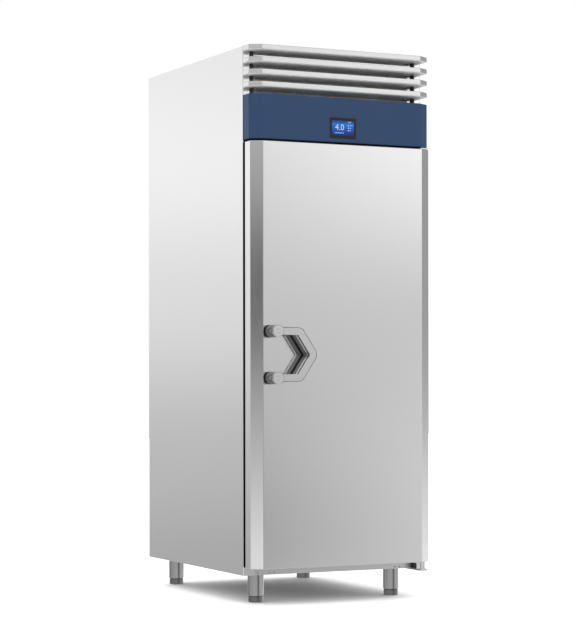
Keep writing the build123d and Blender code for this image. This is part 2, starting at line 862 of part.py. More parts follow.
# Door
plug_half = chamber_half - door_plug_inset
z_plug = (z_floor + door_plug_inset, z_ceiling - door_plug_inset)
with BuildPart() as door_outer_skin:
    with BuildSketch(Plane.XY.offset(z_door)):
        chamfered_plan(y_door_back, door_side, door_chamfer)
    extrude(amount=z_door_top - z_door)
    offset(amount=-skin, openings=door_outer_skin.faces().sort_by(Axis.Y)[-1])
    post(x_pivot, y_pivot, (z_door, z_door + skin), bush_radius, Mode.SUBTRACT)
    post(x_pivot, y_pivot, (z_door_top - skin, z_door_top), bush_radius, Mode.SUBTRACT)

with BuildPart() as door_core:
    with BuildSketch(Plane.XY.offset(z_door + skin)):
        chamfered_plan(y_door_back, door_side, door_chamfer)
        offset(amount=-skin, kind=Kind.INTERSECTION, mode=Mode.REPLACE)
    extrude(amount=z_door_top - z_door - 2 * skin)
    post(x_pivot, y_pivot, (z_door + skin, z_door + bush_length), bush_radius, Mode.SUBTRACT)
    post(x_pivot, y_pivot, (z_door_top - bush_length, z_door_top - skin), bush_radius, Mode.SUBTRACT)
    block(
        (skin - plug_half, plug_half - skin),
        (y_door_back - skin, y_door_back + door_plug_depth - skin),
        (z_plug[0] + skin, z_plug[1] - skin),
    )

with BuildPart() as door_inner_pan:
    block((-inside_half, inside_half), (y_door_back - skin, y_door_back), (z_door + skin, z_door_top - skin))
    block((-plug_half, plug_half), (y_door_back, y_door_back + door_plug_depth), z_plug)
    block(
        (skin - plug_half, plug_half - skin),
        (y_door_back - skin, y_door_back + door_plug_depth - skin),
        (z_plug[0] + skin, z_plug[1] - skin),
        Mode.SUBTRACT,
    )

with BuildPart() as hinge_bushes:
    for z in ((z_door, z_door + bush_length), (z_door_top - bush_length, z_door_top)):
        post(x_pivot, y_pivot, z, bush_radius)
    bore_depth = pin_length + pin_end_gap
    for z in ((z_door, z_door + bore_depth), (z_door_top - bore_depth, z_door_top)):
        post(x_pivot, y_pivot, z, pivot_radius + pivot_clearance, Mode.SUBTRACT)

seal_depth = door_gap - frame_depth - seal_clearance
z_middle = (z_door + z_door_top) / 2


def ring(inset, width):
    """Rectangular ring parallel to the door's edges."""
    height = z_door_top - z_door
    with Locations((0, z_middle)):
        Rectangle(body_width - 2 * inset, height - 2 * inset)
        Rectangle(body_width - 2 * inset - 2 * width, height - 2 * inset - 2 * width, mode=Mode.SUBTRACT)


with BuildPart() as door_gasket:
    with BuildSketch(facing_front(y_door_back)):
        ring(seal_inset, seal_width)
    extrude(amount=-seal_depth)
    with BuildSketch(facing_front(y_door_back)):
        ring(seal_inset - seal_lip, seal_lip)
    extrude(amount=-seal_lip_depth)

# Door handle, in layers on the door's front face
x_boss = handle_boss_inset - half
z_handle = z_door + handle_height
boss_places = ((x_boss, z_handle + handle_half_height), (x_boss, z_handle - handle_half_height))
y_band = y_door - grip_core_depth
y_neck = y_band - grip_band_depth
y_plate = y_neck - grip_neck_depth


def grip_bar(width):
    """The bar seen from the front: level arms from the bosses, and two slanted bars that meet at the apex."""
    with BuildLine(mode=Mode.PRIVATE) as centre_line:
        FilletPolyline(
            boss_places[0],
            (x_boss + handle_corner, z_handle + handle_half_height),
            (x_boss + handle_apex, z_handle),
            (x_boss + handle_corner, z_handle - handle_half_height),
            boss_places[1],
            radius=handle_bend,
        )
    trace(centre_line.line, line_width=width)


def clear_of_bosses():
    """Cut the bar where the bosses stand."""
    with Locations(*boss_places):
        Circle(boss_radius + boss_clearance, mode=Mode.SUBTRACT)


with BuildPart() as handle_core:
    with BuildSketch(facing_front(y_door)):
        grip_bar(grip_core_width)
    extrude(amount=grip_core_depth)
    with BuildSketch(facing_front(y_door)):
        with Locations(*boss_places):
            Circle(boss_radius)
    extrude(amount=boss_depth)

with BuildPart() as handle_band:
    with BuildSketch(facing_front(y_band)):
        grip_bar(grip_width)
        clear_of_bosses()
    extrude(amount=grip_band_depth)

with BuildPart() as handle_neck:
    with BuildSketch(facing_front(y_neck)):
        grip_bar(grip_neck_width)
        clear_of_bosses()
    extrude(amount=grip_neck_depth)

with BuildPart() as handle_front_plate:
    with BuildSketch(facing_front(y_plate)):
        grip_bar(grip_width)
        clear_of_bosses()
    extrude(amount=grip_plate_depth)

with BuildPart() as handle_caps:
    for x, z in boss_places:
        with BuildSketch(facing_front(y_door - boss_depth)):
            with Locations((x, z)):
                Circle(boss_radius)
            with Locations((x - lug_reach, z)):
                Circle(lug_radius)
            with Locations((x - lug_reach / 2, z)):
                Rectangle(lug_reach, lug_radius)
        extrude(amount=cap_depth - cap_step)
        with BuildSketch(facing_front(y_door - boss_depth - cap_depth + cap_step)):
            with Locations((x, z)):
                Circle(boss_radius - cap_rim)
        extrude(amount=cap_step)
        with BuildSketch(facing_front(y_door - boss_depth - cap_depth + cap_step)):
            with Locations((x - lug_reach, z)):
                Circle(lug_hole_radius)
        extrude(amount=-cap_depth / 2, mode=Mode.SUBTRACT)

pieces = {
    "left_side_panel": left_side_panel,
    "right_side_panel": right_side_panel,
    "base_panel": base_panel,
    "back_panel": back_panel,
    "insulation": insulation,
    "compartment_deck": compartment_deck,
    "chamber_floor": chamber_floor,
    "chamber_ceiling": chamber_ceiling,
    "chamber_left_wall": chamber_left_wall,
    "chamber_right_wall": chamber_right_wall,
    "chamber_back_wall": chamber_back_wall,
    "front_frame": front_frame,
    "roof_panel": roof_panel,
    "rear_grille": rear_grille,
    "air_filter": air_filter,
    "condenser_coil": condenser_coil,
    "condenser_shroud": condenser_shroud,
    "condenser_fan": condenser_fan,
    "condenser_fan_motor": condenser_fan_motor,
    "compressor": compressor,
    "liquid_receiver": liquid_receiver,
    "filter_drier": filter_drier,
    "refrigerant_pipes": refrigerant_pipes,
    "electrical_box": electrical_box,
    "cable_gland": cable_gland,
    "drain_pipe": drain_pipe,
    "chamber_light": chamber_light,
    "rack_uprights": rack_uprights,
    "tray_runners": tray_runners,
    "evaporator_cover": evaporator_cover,
    "evaporator_coil": evaporator_coil,
    "evaporator_fan": evaporator_fan,
    "evaporator_fan_motor": evaporator_fan_motor,
    "fascia_panel": fascia_panel,
    "display_bezel": display_bezel,
    "display_screen": display_screen,
    "louvre_posts": louvre_posts,
    "lower_hinge": lower_hinge,
    "upper_hinge": upper_hinge,
    "hinge_stop_post": hinge_stop_post,
    "leg_tubes": leg_tubes,
    "door_outer_skin": door_outer_skin,
    "door_core": door_core,
    "door_inner_pan": door_inner_pan,
    "hinge_bushes": hinge_bushes,
    "door_gasket": door_gasket,
    "handle_core": handle_core,
    "handle_band": handle_band,
    "handle_neck": handle_neck,
    "handle_front_plate": handle_front_plate,
    "handle_caps": handle_caps,
}
pieces.update(feet)
for number, piece in enumerate(louvres, start=1):
    pieces[f"louvre_{number}"] = piece

for name, piece in pieces.items():
    piece.part.label = name
    export_step(piece.part, f"parts/{name}.step")
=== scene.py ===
"""Looks of a commercial upright refrigerator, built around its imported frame.

Lengths are in metres, in the frame's own axes: +X to the viewer's right, +Y to the back, +Z up.
"""

import json
import math
from functools import cache

import bmesh
import bpy
from mathutils import Matrix, Vector

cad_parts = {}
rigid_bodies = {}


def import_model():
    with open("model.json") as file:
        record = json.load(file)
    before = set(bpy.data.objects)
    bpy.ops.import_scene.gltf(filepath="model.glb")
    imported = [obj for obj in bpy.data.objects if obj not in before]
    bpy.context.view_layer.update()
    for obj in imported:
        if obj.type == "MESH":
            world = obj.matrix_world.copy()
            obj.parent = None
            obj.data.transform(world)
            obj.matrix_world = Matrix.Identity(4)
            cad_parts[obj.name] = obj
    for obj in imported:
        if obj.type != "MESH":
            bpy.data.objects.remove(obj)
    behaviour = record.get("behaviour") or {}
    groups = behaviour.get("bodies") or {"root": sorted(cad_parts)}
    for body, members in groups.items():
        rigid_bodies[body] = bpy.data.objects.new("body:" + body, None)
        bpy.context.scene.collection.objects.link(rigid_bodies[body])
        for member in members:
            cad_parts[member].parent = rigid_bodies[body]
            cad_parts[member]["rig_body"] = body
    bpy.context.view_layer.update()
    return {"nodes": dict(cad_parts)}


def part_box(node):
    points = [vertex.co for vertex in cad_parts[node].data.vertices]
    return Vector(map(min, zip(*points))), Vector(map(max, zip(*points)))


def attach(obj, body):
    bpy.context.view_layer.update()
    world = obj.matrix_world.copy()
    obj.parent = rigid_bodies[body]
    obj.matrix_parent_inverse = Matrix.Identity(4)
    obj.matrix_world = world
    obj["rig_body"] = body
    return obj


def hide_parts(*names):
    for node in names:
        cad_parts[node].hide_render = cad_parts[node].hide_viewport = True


bl_info = {
    "name": "Commercial upright refrigerator",
    "version": (1, 0, 0),
    "blender": (4, 5, 0),
    "location": "View3D > Sidebar > Refrigerator",
    "description": "Dresses the packed refrigerator with its sheet metal, fittings, materials and studio",
    "category": "Object",
}

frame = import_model()

MM = 0.001

# Outside of the cabinet, from its left side panel: half the width, and the front, back, bottom and top planes
panel_low, panel_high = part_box("left_side_panel")
HALF = -panel_low.x
FACE, BACK = panel_low.y, panel_high.y
BOTTOM, TOP = panel_low.z, panel_high.z

PANEL_SHEET = 1.5 * MM
LOUVRES = ("louvre_1", "louvre_2", "louvre_3", "louvre_4")
FEET = ("front_left_foot", "front_right_foot", "rear_left_foot", "rear_right_foot")

# Distances under which two points of a mesh are one: in a CAD mesh as it comes, and after its edges are
# rounded
WELD, CLEAN = 2e-6, 5e-6


# Small tools

def linear(hex_colour):
    """Linear RGBA from an sRGB hex value such as "#C8C8C6"."""
    channels = [int(hex_colour[i : i + 2], 16) / 255 for i in (1, 3, 5)]
    return tuple(c / 12.92 if c <= 0.04045 else ((c + 0.055) / 1.055) ** 2.4 for c in channels) + (1.0,)


def add_node(tree, kind, sockets=None, **settings):
    """A node of a tree with its settings, its inputs linked to sockets or set to values."""
    made = tree.nodes.new(kind)
    for key, value in settings.items():
        setattr(made, key, value)
    for key, value in (sockets or {}).items():
        if isinstance(value, bpy.types.NodeSocket):
            tree.links.new(value, made.inputs[key])
        else:
            made.inputs[key].default_value = value
    return made


def shaded(name, colour, metallic, roughness, **constants):
    """A new material's tree and shader, with the constants set on the shader's own sockets."""
    material = bpy.data.materials.new(name)
    material.use_nodes = True
    shader = material.node_tree.nodes["Principled BSDF"]
    shader.inputs["Base Color"].default_value = colour
    shader.inputs["Metallic"].default_value = metallic
    shader.inputs["Roughness"].default_value = roughness
    for key, value in constants.items():
        shader.inputs[key.replace("_", " ")].default_value = value
    return material, material.node_tree, shader


def settings():
    """The sizes and colours that a user can change."""
    return bpy.context.scene.refrigerator


def new_object(name, data):
    """An object in the scene, at the origin."""
    made = bpy.data.objects.new(name, data)
    bpy.context.scene.collection.objects.link(made)
    return made


def set_material(piece, material):
    """Give a piece one material all over."""
    piece.data.materials.clear()
    piece.data.materials.append(material)


def new_piece(name, shape, body, material, stands_for=()):
    """A finished object at the origin that rides on a body; its shape is a mesh, or a form that is made
    one."""
    piece = new_object(name, mesh_of(shape, name) if isinstance(shape, bmesh.types.BMesh) else shape)
    set_material(piece, material)
    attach(piece, body)
    if stands_for:
        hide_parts(*stands_for)
    return piece


def weighted_normals(piece, angle=35):
    """Smooth shading that leaves the flat faces flat."""
    piece.data.shade_smooth()
    piece.data.set_sharp_from_angle(angle=math.radians(angle))
    modifier = piece.modifiers.new("weighted_normals", "WEIGHTED_NORMAL")
    modifier.keep_sharp = True


def welded(node):
    """A CAD node's mesh with its loose triangles joined, as a form to work on."""
    form = bmesh.new()
    form.from_mesh(frame["nodes"][node].data)
    bmesh.ops.remove_doubles(form, verts=form.verts, dist=WELD)
    return form


def rounded_copy(node, bend, rim, material, sheet=0.0):
    """A copy of a node with its wide outer edges bent to a radius, its folds rounded inside too if it
    is a sheet, and its thin edges deburred."""
    form = welded(node)
    bmesh.ops.dissolve_limit(form, angle_limit=math.radians(0.4), verts=form.verts, edges=form.edges)

    def edges(width, inner):
        """Edges that turn by more than 25 degrees between two faces that are both wider than a width."""
        return [
            e for e in form.edges
            if len(e.link_faces) == 2 and e.calc_face_angle(0) > math.radians(25) and e.is_convex != inner
            and min(2 * f.calc_area() / f.calc_perimeter() for f in e.link_faces) > width
        ]

    room = 2.2  # width that a face needs beside a round, in radii
    for radius, inner, segments in ((bend - sheet if sheet else 0, True, 4), (bend, False, 4),
                                    (rim, False, 2)):
        if radius > 0:
            bmesh.ops.bevel(form, geom=edges(room * radius, inner), offset=radius, segments=segments,
                            profile=0.5, affect="EDGES", clamp_overlap=False)
    bmesh.ops.remove_doubles(form, verts=form.verts, dist=CLEAN)
    bmesh.ops.dissolve_degenerate(form, dist=CLEAN, edges=form.edges)
    body = frame["nodes"][node]["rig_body"]
    weighted_normals(new_piece(node + "_finished", form, body, material, [node]))


def dress(material, *nodes):
    """Give CAD nodes that keep their own shape a material."""
    for node in nodes:
        set_material(frame["nodes"][node], material)


def lathe(profile, centre, axis, steps):
    """Closed form of revolution from (radius, height) pairs, turned so that its height runs along an axis."""
    form = bmesh.new()
    rings = []
    for radius, height in profile:
        if radius < 1e-7:
            rings.append([form.verts.new((0, 0, height))])
            continue
        turns = [2 * math.pi * k / steps for k in range(steps)]
        rings.append([form.verts.new((radius * math.cos(t), radius * math.sin(t), height)) for t in turns])
    for low, high in zip(rings, rings[1:]):
        for k in range(steps):
            corners = [low[k % len(low)], low[(k + 1) % len(low)], high[(k + 1) % len(high)],
                       high[k % len(high)]]
            form.faces.new(list(dict.fromkeys(corners)))
    bmesh.ops.recalc_face_normals(form, faces=form.faces)
    turn = Vector((0, 0, 1)).rotation_difference(Vector(axis)).to_matrix().to_4x4()
    bmesh.ops.transform(form, matrix=Matrix.Translation(centre) @ turn, verts=form.verts)
    return form


def loft(form, sections, closed=False):
    """Walls between sections of equally many corners, with flat ends unless the last section meets the
    first."""
    for here, there in zip(sections, sections[1:] + (sections[:1] if closed else [])):
        for k in range(len(here)):
            after = (k + 1) % len(here)
            form.faces.new((here[k], here[after], there[after], there[k]))
    if not closed:
        form.faces.new(sections[0])
        form.faces.new(sections[-1])
    bmesh.ops.recalc_face_normals(form, faces=form.faces)
    return form


def add_block(form, low, high):
    """A block between two corners in a growing form."""
    centre = (Vector(low) + Vector(high)) / 2
    size = Vector(high) - Vector(low)
    bmesh.ops.create_cube(form, size=1.0, matrix=Matrix.Translation(centre) @ Matrix.Diagonal((*size, 1.0)))


def mesh_of(form, name):
    """The mesh of a form that is finished."""
    mesh = bpy.data.meshes.new(name)
    form.to_mesh(mesh)
    form.free()
    return mesh


def evaluated_mesh(carrier):
    """What an object's modifiers or text give, as a plain mesh."""
    graph = bpy.context.evaluated_depsgraph_get()
    return bpy.data.meshes.new_from_object(carrier.evaluated_get(graph), depsgraph=graph)


def node_tree(name, sockets):
    """A geometry tree with named inputs; gives the tree, its inputs by name, and its output node."""
    tree = bpy.data.node_groups.new(name, "GeometryNodeTree")
    tree.interface.new_socket("Geometry", in_out="INPUT", socket_type="NodeSocketGeometry")
    for label, kind in sockets.items():
        tree.interface.new_socket(label, in_out="INPUT", socket_type="NodeSocket" + kind)
    tree.interface.new_socket("Geometry", in_out="OUTPUT", socket_type="NodeSocketGeometry")
    return tree, add_node(tree, "NodeGroupInput").outputs, add_node(tree, "NodeGroupOutput")


def end_tree(tree, geometry, inputs, output):
    """The end of every geometry tree: its instances are made real and wear the material."""
    whole = add_node(tree, "GeometryNodeRealizeInstances", {0: geometry})
    painted = add_node(tree, "GeometryNodeSetMaterial", {
        "Geometry": whole.outputs[0], "Material": inputs["Material"],
    })
    tree.links.new(painted.outputs[0], output.inputs[0])


def grown(name, tree, values, body, points=()):
    """A piece grown by a geometry tree on points that each face some way; the points are (place,
    facing) pairs."""
    seed = bpy.data.meshes.new(name + "_points")
    seed.from_pydata([place for place, _ in points], [], [])
    facing = seed.attributes.new("facing", "FLOAT_VECTOR", "POINT")
    for k, (_, way) in enumerate(points):
        facing.data[k].vector = way
    carrier = new_object(name + "_carrier", seed)
    modifier = carrier.modifiers.new("nodes", "NODES")
    modifier.node_group = tree
    for socket in tree.interface.items_tree:
        if socket.in_out == "INPUT" and socket.name in values:
            modifier[socket.identifier] = values[socket.name]
    mesh = evaluated_mesh(carrier)
    carrier.modifiers.remove(modifier)
    bpy.data.objects.remove(carrier)
    if not mesh.polygons:
        raise RuntimeError(name + " grew no faces")
    mesh.name = name
    return new_piece(name, mesh, body, values["Material"])


# Finishes, each named for the real material and for how its surface was made. They are made once and
# then shared.

# Shares by which a brushed sheet's roughness and tone, and a coat's tone, drift over the surface
GRAIN_ROUGHNESS, GRAIN_TONE, COAT_TONE = 0.035, 0.06, 0.04

# Axis that a grain runs along
ACROSS, DEEP, UPRIGHT = 0, 1, 2


def grain(tree, across, along, axis):
    """Noise drawn out along one axis, at a real size across and along the grain in metres."""
    scale = [1 / across] * 3
    scale[axis] = 1 / along
    coordinates = add_node(tree, "ShaderNodeTexCoord")
    stretched = add_node(tree, "ShaderNodeMapping", {"Vector": coordinates.outputs["Object"], "Scale": scale})
    return add_node(tree, "ShaderNodeTexNoise", {"Vector": stretched.outputs[0], "Scale": 1.0, "Detail": 3.0})


@cache
def brushed_stainless(name, hex_colour, roughness, axis, contrast=1.0):
    """Stainless sheet with a satin belt grain: fine parallel scratches that spread a reflection across
    the grain. The real scratches are 0.1 mm wide; they are drawn 1.2 mm wide so that they show."""
    material, tree, shader = shaded(name, linear(hex_colour), 1.0, roughness)
    fine = grain(tree, 1.2 * MM, 90 * MM, axis)
    broad = grain(tree, 14 * MM, 700 * MM, axis)
    mixed = add_node(tree, "ShaderNodeMath", {0: broad.outputs["Fac"], 1: 0.3, 2: fine.outputs["Fac"]},
                     operation="MULTIPLY_ADD")
    rough = add_node(tree, "ShaderNodeMapRange", {
        "Value": mixed.outputs[0], "From Min": 0.4, "From Max": 0.9,
        "To Min": roughness - GRAIN_ROUGHNESS * contrast, "To Max": roughness + GRAIN_ROUGHNESS * contrast,
    })
    tree.links.new(rough.outputs[0], shader.inputs["Roughness"])
    bright = linear(hex_colour)
    dull = tuple(c * (1 - GRAIN_TONE * contrast) for c in bright[:3]) + (1.0,)
    tone = add_node(tree, "ShaderNodeMix", {0: fine.outputs["Fac"], 6: dull, 7: bright}, data_type="RGBA")
    tree.links.new(tone.outputs[2], shader.inputs["Base Color"])
    scratch = add_node(tree, "ShaderNodeBump", {
        "Height": fine.outputs["Fac"], "Strength": 0.04 * contrast, "Distance": 0.2 * MM,
    })
    tree.links.new(scratch.outputs[0], shader.inputs["Normal"])
    return material


def panel_steel():
    """Side panels, roof and door: a fine upright grain that draws the studio out into soft upright bands."""
    return brushed_stainless("satin_brushed_stainless_panel", settings().steel.panel_colour_hex, 0.125,
                             UPRIGHT, 0.6)


def strip_steel():
    """Louvre blades, handle band and hinges: a grain along their length, more matt, so that they read
    pale."""
    return brushed_stainless("satin_brushed_stainless_strip", "#D1D1D1", 0.24, ACROSS)


def sill_steel():
    """Bottom pan and its sill: the same stainless left duller, as it comes from the roll."""
    return brushed_stainless("dull_rolled_stainless_sill", "#B8B8B8", 0.22, ACROSS)


def handle_steel():
    """Front plate of the handle: ground a little finer than the door, so that it stands out from it
    just enough."""
    return brushed_stainless("fine_ground_stainless_plate", "#C6C6C6", 0.16, ACROSS, 0.7)


def turned_steel():
    """Caps of the handle, faced on a lathe: bright, with soft edges to what they mirror."""
    return brushed_stainless("fine_turned_stainless_bar", "#CBCBCB", 0.2, DEEP, 0.6)


@cache
def lining_steel():
    """Rolled 2B stainless of the chamber: greyer and duller than the outside, with faint roller
    cloudiness."""
    material, tree, shader = shaded("rolled_stainless_lining", linear("#C9CAC8"), 1.0, 0.34)
    coordinates = add_node(tree, "ShaderNodeTexCoord")
    cloud = add_node(tree, "ShaderNodeTexNoise", {
        "Vector": coordinates.outputs["Object"], "Scale": 9.0, "Detail": 4.0,
    })
    rough = add_node(tree, "ShaderNodeMapRange", {
        "Value": cloud.outputs["Fac"], "To Min": 0.3, "To Max": 0.38,
    })
    tone = add_node(tree, "ShaderNodeMix", {
        0: cloud.outputs["Fac"], 6: linear("#C4C5C4"), 7: linear("#CDCECC"),
    }, data_type="RGBA")
    tree.links.new(rough.outputs[0], shader.inputs["Roughness"])
    tree.links.new(tone.outputs[2], shader.inputs["Base Color"])
    return material


@cache
def galvanised_sheet():
    """Hot-dip galvanised sheet: zinc crystals 10 mm across, each a slightly different grey."""
    material, tree, shader = shaded("hot_dip_galvanised_sheet", linear("#A9ACAE"), 0.9, 0.42)
    coordinates = add_node(tree, "ShaderNodeTexCoord")
    spangle = add_node(tree, "ShaderNodeTexVoronoi", {
        "Vector": coordinates.outputs["Object"], "Scale": 100.0,
    })
    tone = add_node(tree, "ShaderNodeMapRange", {
        "Value": spangle.outputs["Color"], "To Min": 0.4, "To Max": 0.47,
    })
    colour = add_node(tree, "ShaderNodeMix", {
        0: spangle.outputs["Color"], 6: linear("#A6A9AA"), 7: linear("#B4B6B7"),
    }, data_type="RGBA")
    tree.links.new(tone.outputs[0], shader.inputs["Roughness"])
    tree.links.new(colour.outputs[2], shader.inputs["Base Color"])
    return material


@cache
def coated(name, hex_colour, roughness, peel, strength, metallic=0.0, ior=1.5):
    """Paint, powder coat or moulded plastic: one colour with a fine skin texture, peel metres from bump
    to bump."""
    material, tree, shader = shaded(name, linear(hex_colour), metallic, roughness, IOR=ior)
    coordinates = add_node(tree, "ShaderNodeTexCoord")
    skin = add_node(tree, "ShaderNodeTexNoise", {
        "Vector": coordinates.outputs["Object"], "Scale": 1 / peel, "Detail": 2.0,
    })
    bump = add_node(tree, "ShaderNodeBump", {
        "Height": skin.outputs["Fac"], "Strength": strength, "Distance": 0.1 * MM,
    })
    rough = add_node(tree, "ShaderNodeMapRange", {
        "Value": skin.outputs["Fac"], "To Min": roughness - 0.05, "To Max": roughness + 0.05,
    })
    broad = add_node(tree, "ShaderNodeTexNoise", {
        "Vector": coordinates.outputs["Object"], "Scale": 6.0, "Detail": 2.0,
    })
    dark, light = (
        tuple(min(c * share, 1) for c in linear(hex_colour)[:3]) + (1.0,)
        for share in (1 - COAT_TONE, 1 + COAT_TONE)
    )
    tone = add_node(tree, "ShaderNodeMix", {0: broad.outputs["Fac"], 6: dark, 7: light}, data_type="RGBA")
    tree.links.new(tone.outputs[2], shader.inputs["Base Color"])
    tree.links.new(rough.outputs[0], shader.inputs["Roughness"])
    tree.links.new(bump.outputs[0], shader.inputs["Normal"])
    return material


def powder_coat_blue():
    """Blue polyester powder coat: satin, with a faint orange peel 1.5 mm from bump to bump."""
    return coated("blue_powder_coated_steel", settings().fascia.colour_hex, 0.45, 1.5 * MM, 0.12, ior=1.3)


def painted_joint_shade():
    """Rear edge of the fascia's returns: a darker navy line, painted shade in the joint beside each side
    panel."""
    return coated("navy_painted_shade_in_the_joint", "#08152B", 0.5, 1 * MM, 0.1, ior=1.25)


def deadening_paint():
    """Sprayed sound-deadening coat under the louvre blades: grey with a dull sheen, in a coarse 2 mm
    spatter."""
    return coated("sprayed_deadening_coat", settings().fascia.deadening_hex, 0.5, 2 * MM, 0.15, ior=1.4)


def frame_pvc():
    """Black PVC frame that the seal closes on: matt, so that the gap beside the door reads as a black
    line."""
    return coated("extruded_matt_black_PVC", "#050505", 0.6, 2 * MM, 0.05, ior=1.18)


def bezel_plastic():
    """Warm dark grey moulded bezel with a fine spark texture."""
    return coated("moulded_warm_grey_ABS", "#1C1813", 0.55, 0.6 * MM, 0.12, ior=1.25)


def black_abs():
    """Moulded black parts: a soft sheen on a fine spark texture."""
    return coated("moulded_black_ABS", "#17171A", 0.42, 0.7 * MM, 0.1)


def gasket_pvc():
    """Extruded soft PVC: black, waxy rather than glossy."""
    return coated("extruded_black_PVC", "#060606", 0.6, 2 * MM, 0.06, ior=1.22)


def grey_nylon():
    """Glass-filled nylon of the handle under a metallic grey lacquer, which mirrors the dark ceiling on
    its bosses."""
    return coated("metallic_lacquered_nylon", "#525355", 0.3, 0.8 * MM, 0.08, metallic=0.65)


def light_nylon():
    """Moulded grey nylon of bushes, gussets and pipe: waxy and even."""
    return coated("moulded_grey_nylon", "#8C8E90", 0.45, 0.8 * MM, 0.1)


def foam():
    """Poured polyurethane foam, cream with fine cells."""
    return coated("poured_polyurethane_foam", "#D9C58C", 0.9, 1.2 * MM, 0.5)


def black_enamel():
    """Enamel baked on the compressor, the receiver and the motors: black and glossy, with slow waves."""
    return coated("stoved_black_enamel", "#101113", 0.3, 3 * MM, 0.08)


def opal_polycarbonate():
    """Opal cover of the chamber's lamp, lit from inside as it is when the door opens."""
    material = coated("extruded_opal_polycarbonate", "#EDEDE8", 0.3, 5 * MM, 0.02, ior=1.58)
    shader = material.node_tree.nodes["Principled BSDF"]
    shader.inputs["Emission Color"].default_value = linear("#FFF6E8")
    shader.inputs["Emission Strength"].default_value = settings().stage.chamber_lamp
    return material


@cache
def rolled_aluminium():
    """Thin rolled aluminium of fins and filter: bright, a little blue."""
    material, tree, shader = shaded("rolled_aluminium_foil", linear("#DDDFE2"), 0.85, 0.4)
    streaks = grain(tree, 1.5 * MM, 30 * MM, UPRIGHT)
    rough = add_node(tree, "ShaderNodeMapRange", {
        "Value": streaks.outputs["Fac"], "To Min": 0.33, "To Max": 0.5,
    })
    tree.links.new(rough.outputs[0], shader.inputs["Roughness"])
    return material


def fleece_with_painted_glow():
    """White polyester fleece of the air filter, its front face given a faint glow: painted light, so that the
    filter reads bright white between the blades. The fibres themselves are a fine 1 mm noise."""
    material = coated("white_polyester_fleece_painted_glow", "#F4F4F2", 0.9, 1 * MM, 0.3, ior=1.3)
    shader = material.node_tree.nodes["Principled BSDF"]
    shader.inputs["Emission Color"].default_value = linear("#FFFFFF")
    tree = material.node_tree
    place = add_node(tree, "ShaderNodeSeparateXYZ", {
        0: add_node(tree, "ShaderNodeTexCoord").outputs["Object"],
    })
    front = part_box("air_filter")[0].y
    # The glow on the front face is painted light; the filter is no lamp.
    glow = add_node(tree, "ShaderNodeMapRange", {
        "Value": place.outputs["Y"], "From Min": front + 0.2 * MM, "From Max": front + 0.6 * MM,
        "To Min": settings().stage.fleece_painted_glow, "To Max": 0.0,
    })
    tree.links.new(glow.outputs[0], shader.inputs["Emission Strength"])
    return material


@cache
def drawn_copper():
    """Drawn copper tube, a little browned at the brazed joints."""
    material, tree, shader = shaded("drawn_copper_tube", linear("#C87E5C"), 1.0, 0.26)
    coordinates = add_node(tree, "ShaderNodeTexCoord")
    stain = add_node(tree, "ShaderNodeTexNoise", {
        "Vector": coordinates.outputs["Object"], "Scale": 14.0, "Detail": 5.0,
    })
    tone = add_node(tree, "ShaderNodeMix", {
        0: stain.outputs["Fac"], 6: linear("#8E4A2F"), 7: linear("#D9946F"),
    }, data_type="RGBA")
    tree.links.new(tone.outputs[2], shader.inputs["Base Color"])
    return material


def lit_glass(bottom, top):
    """Black cover glass over a lit blue panel: the picture glows brighter at mid-height, with a darker
    bar on top."""
    material, tree, shader = shaded("cover_glass_over_lit_panel", linear("#05070C"), 0.0, 0.2, IOR=1.25)
    place = add_node(tree, "ShaderNodeSeparateXYZ", {
        0: add_node(tree, "ShaderNodeTexCoord").outputs["Object"],
    })
    height = add_node(tree, "ShaderNodeMapRange", {
        "Value": place.outputs["Z"], "From Min": bottom, "From Max": top,
    })
    ramp = add_node(tree, "ShaderNodeValToRGB", {"Fac": height.outputs[0]})
    stops = ((0.0, "#1D2A74"), (0.2, "#1F2F80"), (0.24, "#1D459A"), (0.5, "#1C55AE"), (0.8, "#1F74D2"),
             (0.86, "#1F4A98"))
    for place_up, _ in stops[1:-1]:
        ramp.color_ramp.elements.new(place_up)
    for element, (place_up, colour) in zip(ramp.color_ramp.elements, stops):
        element.position = place_up
        element.color = linear(colour)
    tree.links.new(ramp.outputs[0], shader.inputs["Emission Color"])
    shader.inputs["Emission Strength"].default_value = 1.0
    return material


def lamp_colour(name, hex_colour):
    """A lit mark on the display: a flat glowing colour, as pixels give."""
    glow = {"Emission_Color": linear(hex_colour), "Emission_Strength": 1.0}
    return shaded(name, linear("#101010"), 0.0, 0.4, **glow)[0]


def tube_steel_painted_dark():
    """Ground stainless tube, its colour darkened below the sheet's: painted shade for the shadowed floor that
    the round sides would mirror, since the floor is hidden from reflections."""
    return brushed_stainless("ground_stainless_tube_painted_dark", "#8E8E8E", 0.13, UPRIGHT, 1.5)


def foot_steel_painted_dark():
    """Turned stainless of the screw feet, with rings left by the lathe tool; its colour is greyer than the
    tubes', painted shade for the floor's shadow that the feet mirror.
    """
    return brushed_stainless("turned_stainless_foot_painted_dark", "#646463", 0.16, ACROSS)


def zinc():
    """Zinc plate on screws and lugs: dull and greyer than the steel round them."""
    return brushed_stainless("zinc_plated_screw_steel", "#8F9092", 0.35, ACROSS, 0.5)


# Pieces

def widened_frame(reach):
    """The black frame, with a lip that reaches out over the front fold of each side panel."""
    form = welded("front_frame")
    widest = max(v.co.x for v in form.verts)
    for vertex in form.verts:
        if abs(vertex.co.x) > widest - 0.1 * MM:
            vertex.co.x += math.copysign(reach, vertex.co.x)
    weighted_normals(new_piece("front_frame_finished", form, "cabinet", frame_pvc(),
                               ["front_frame"]))


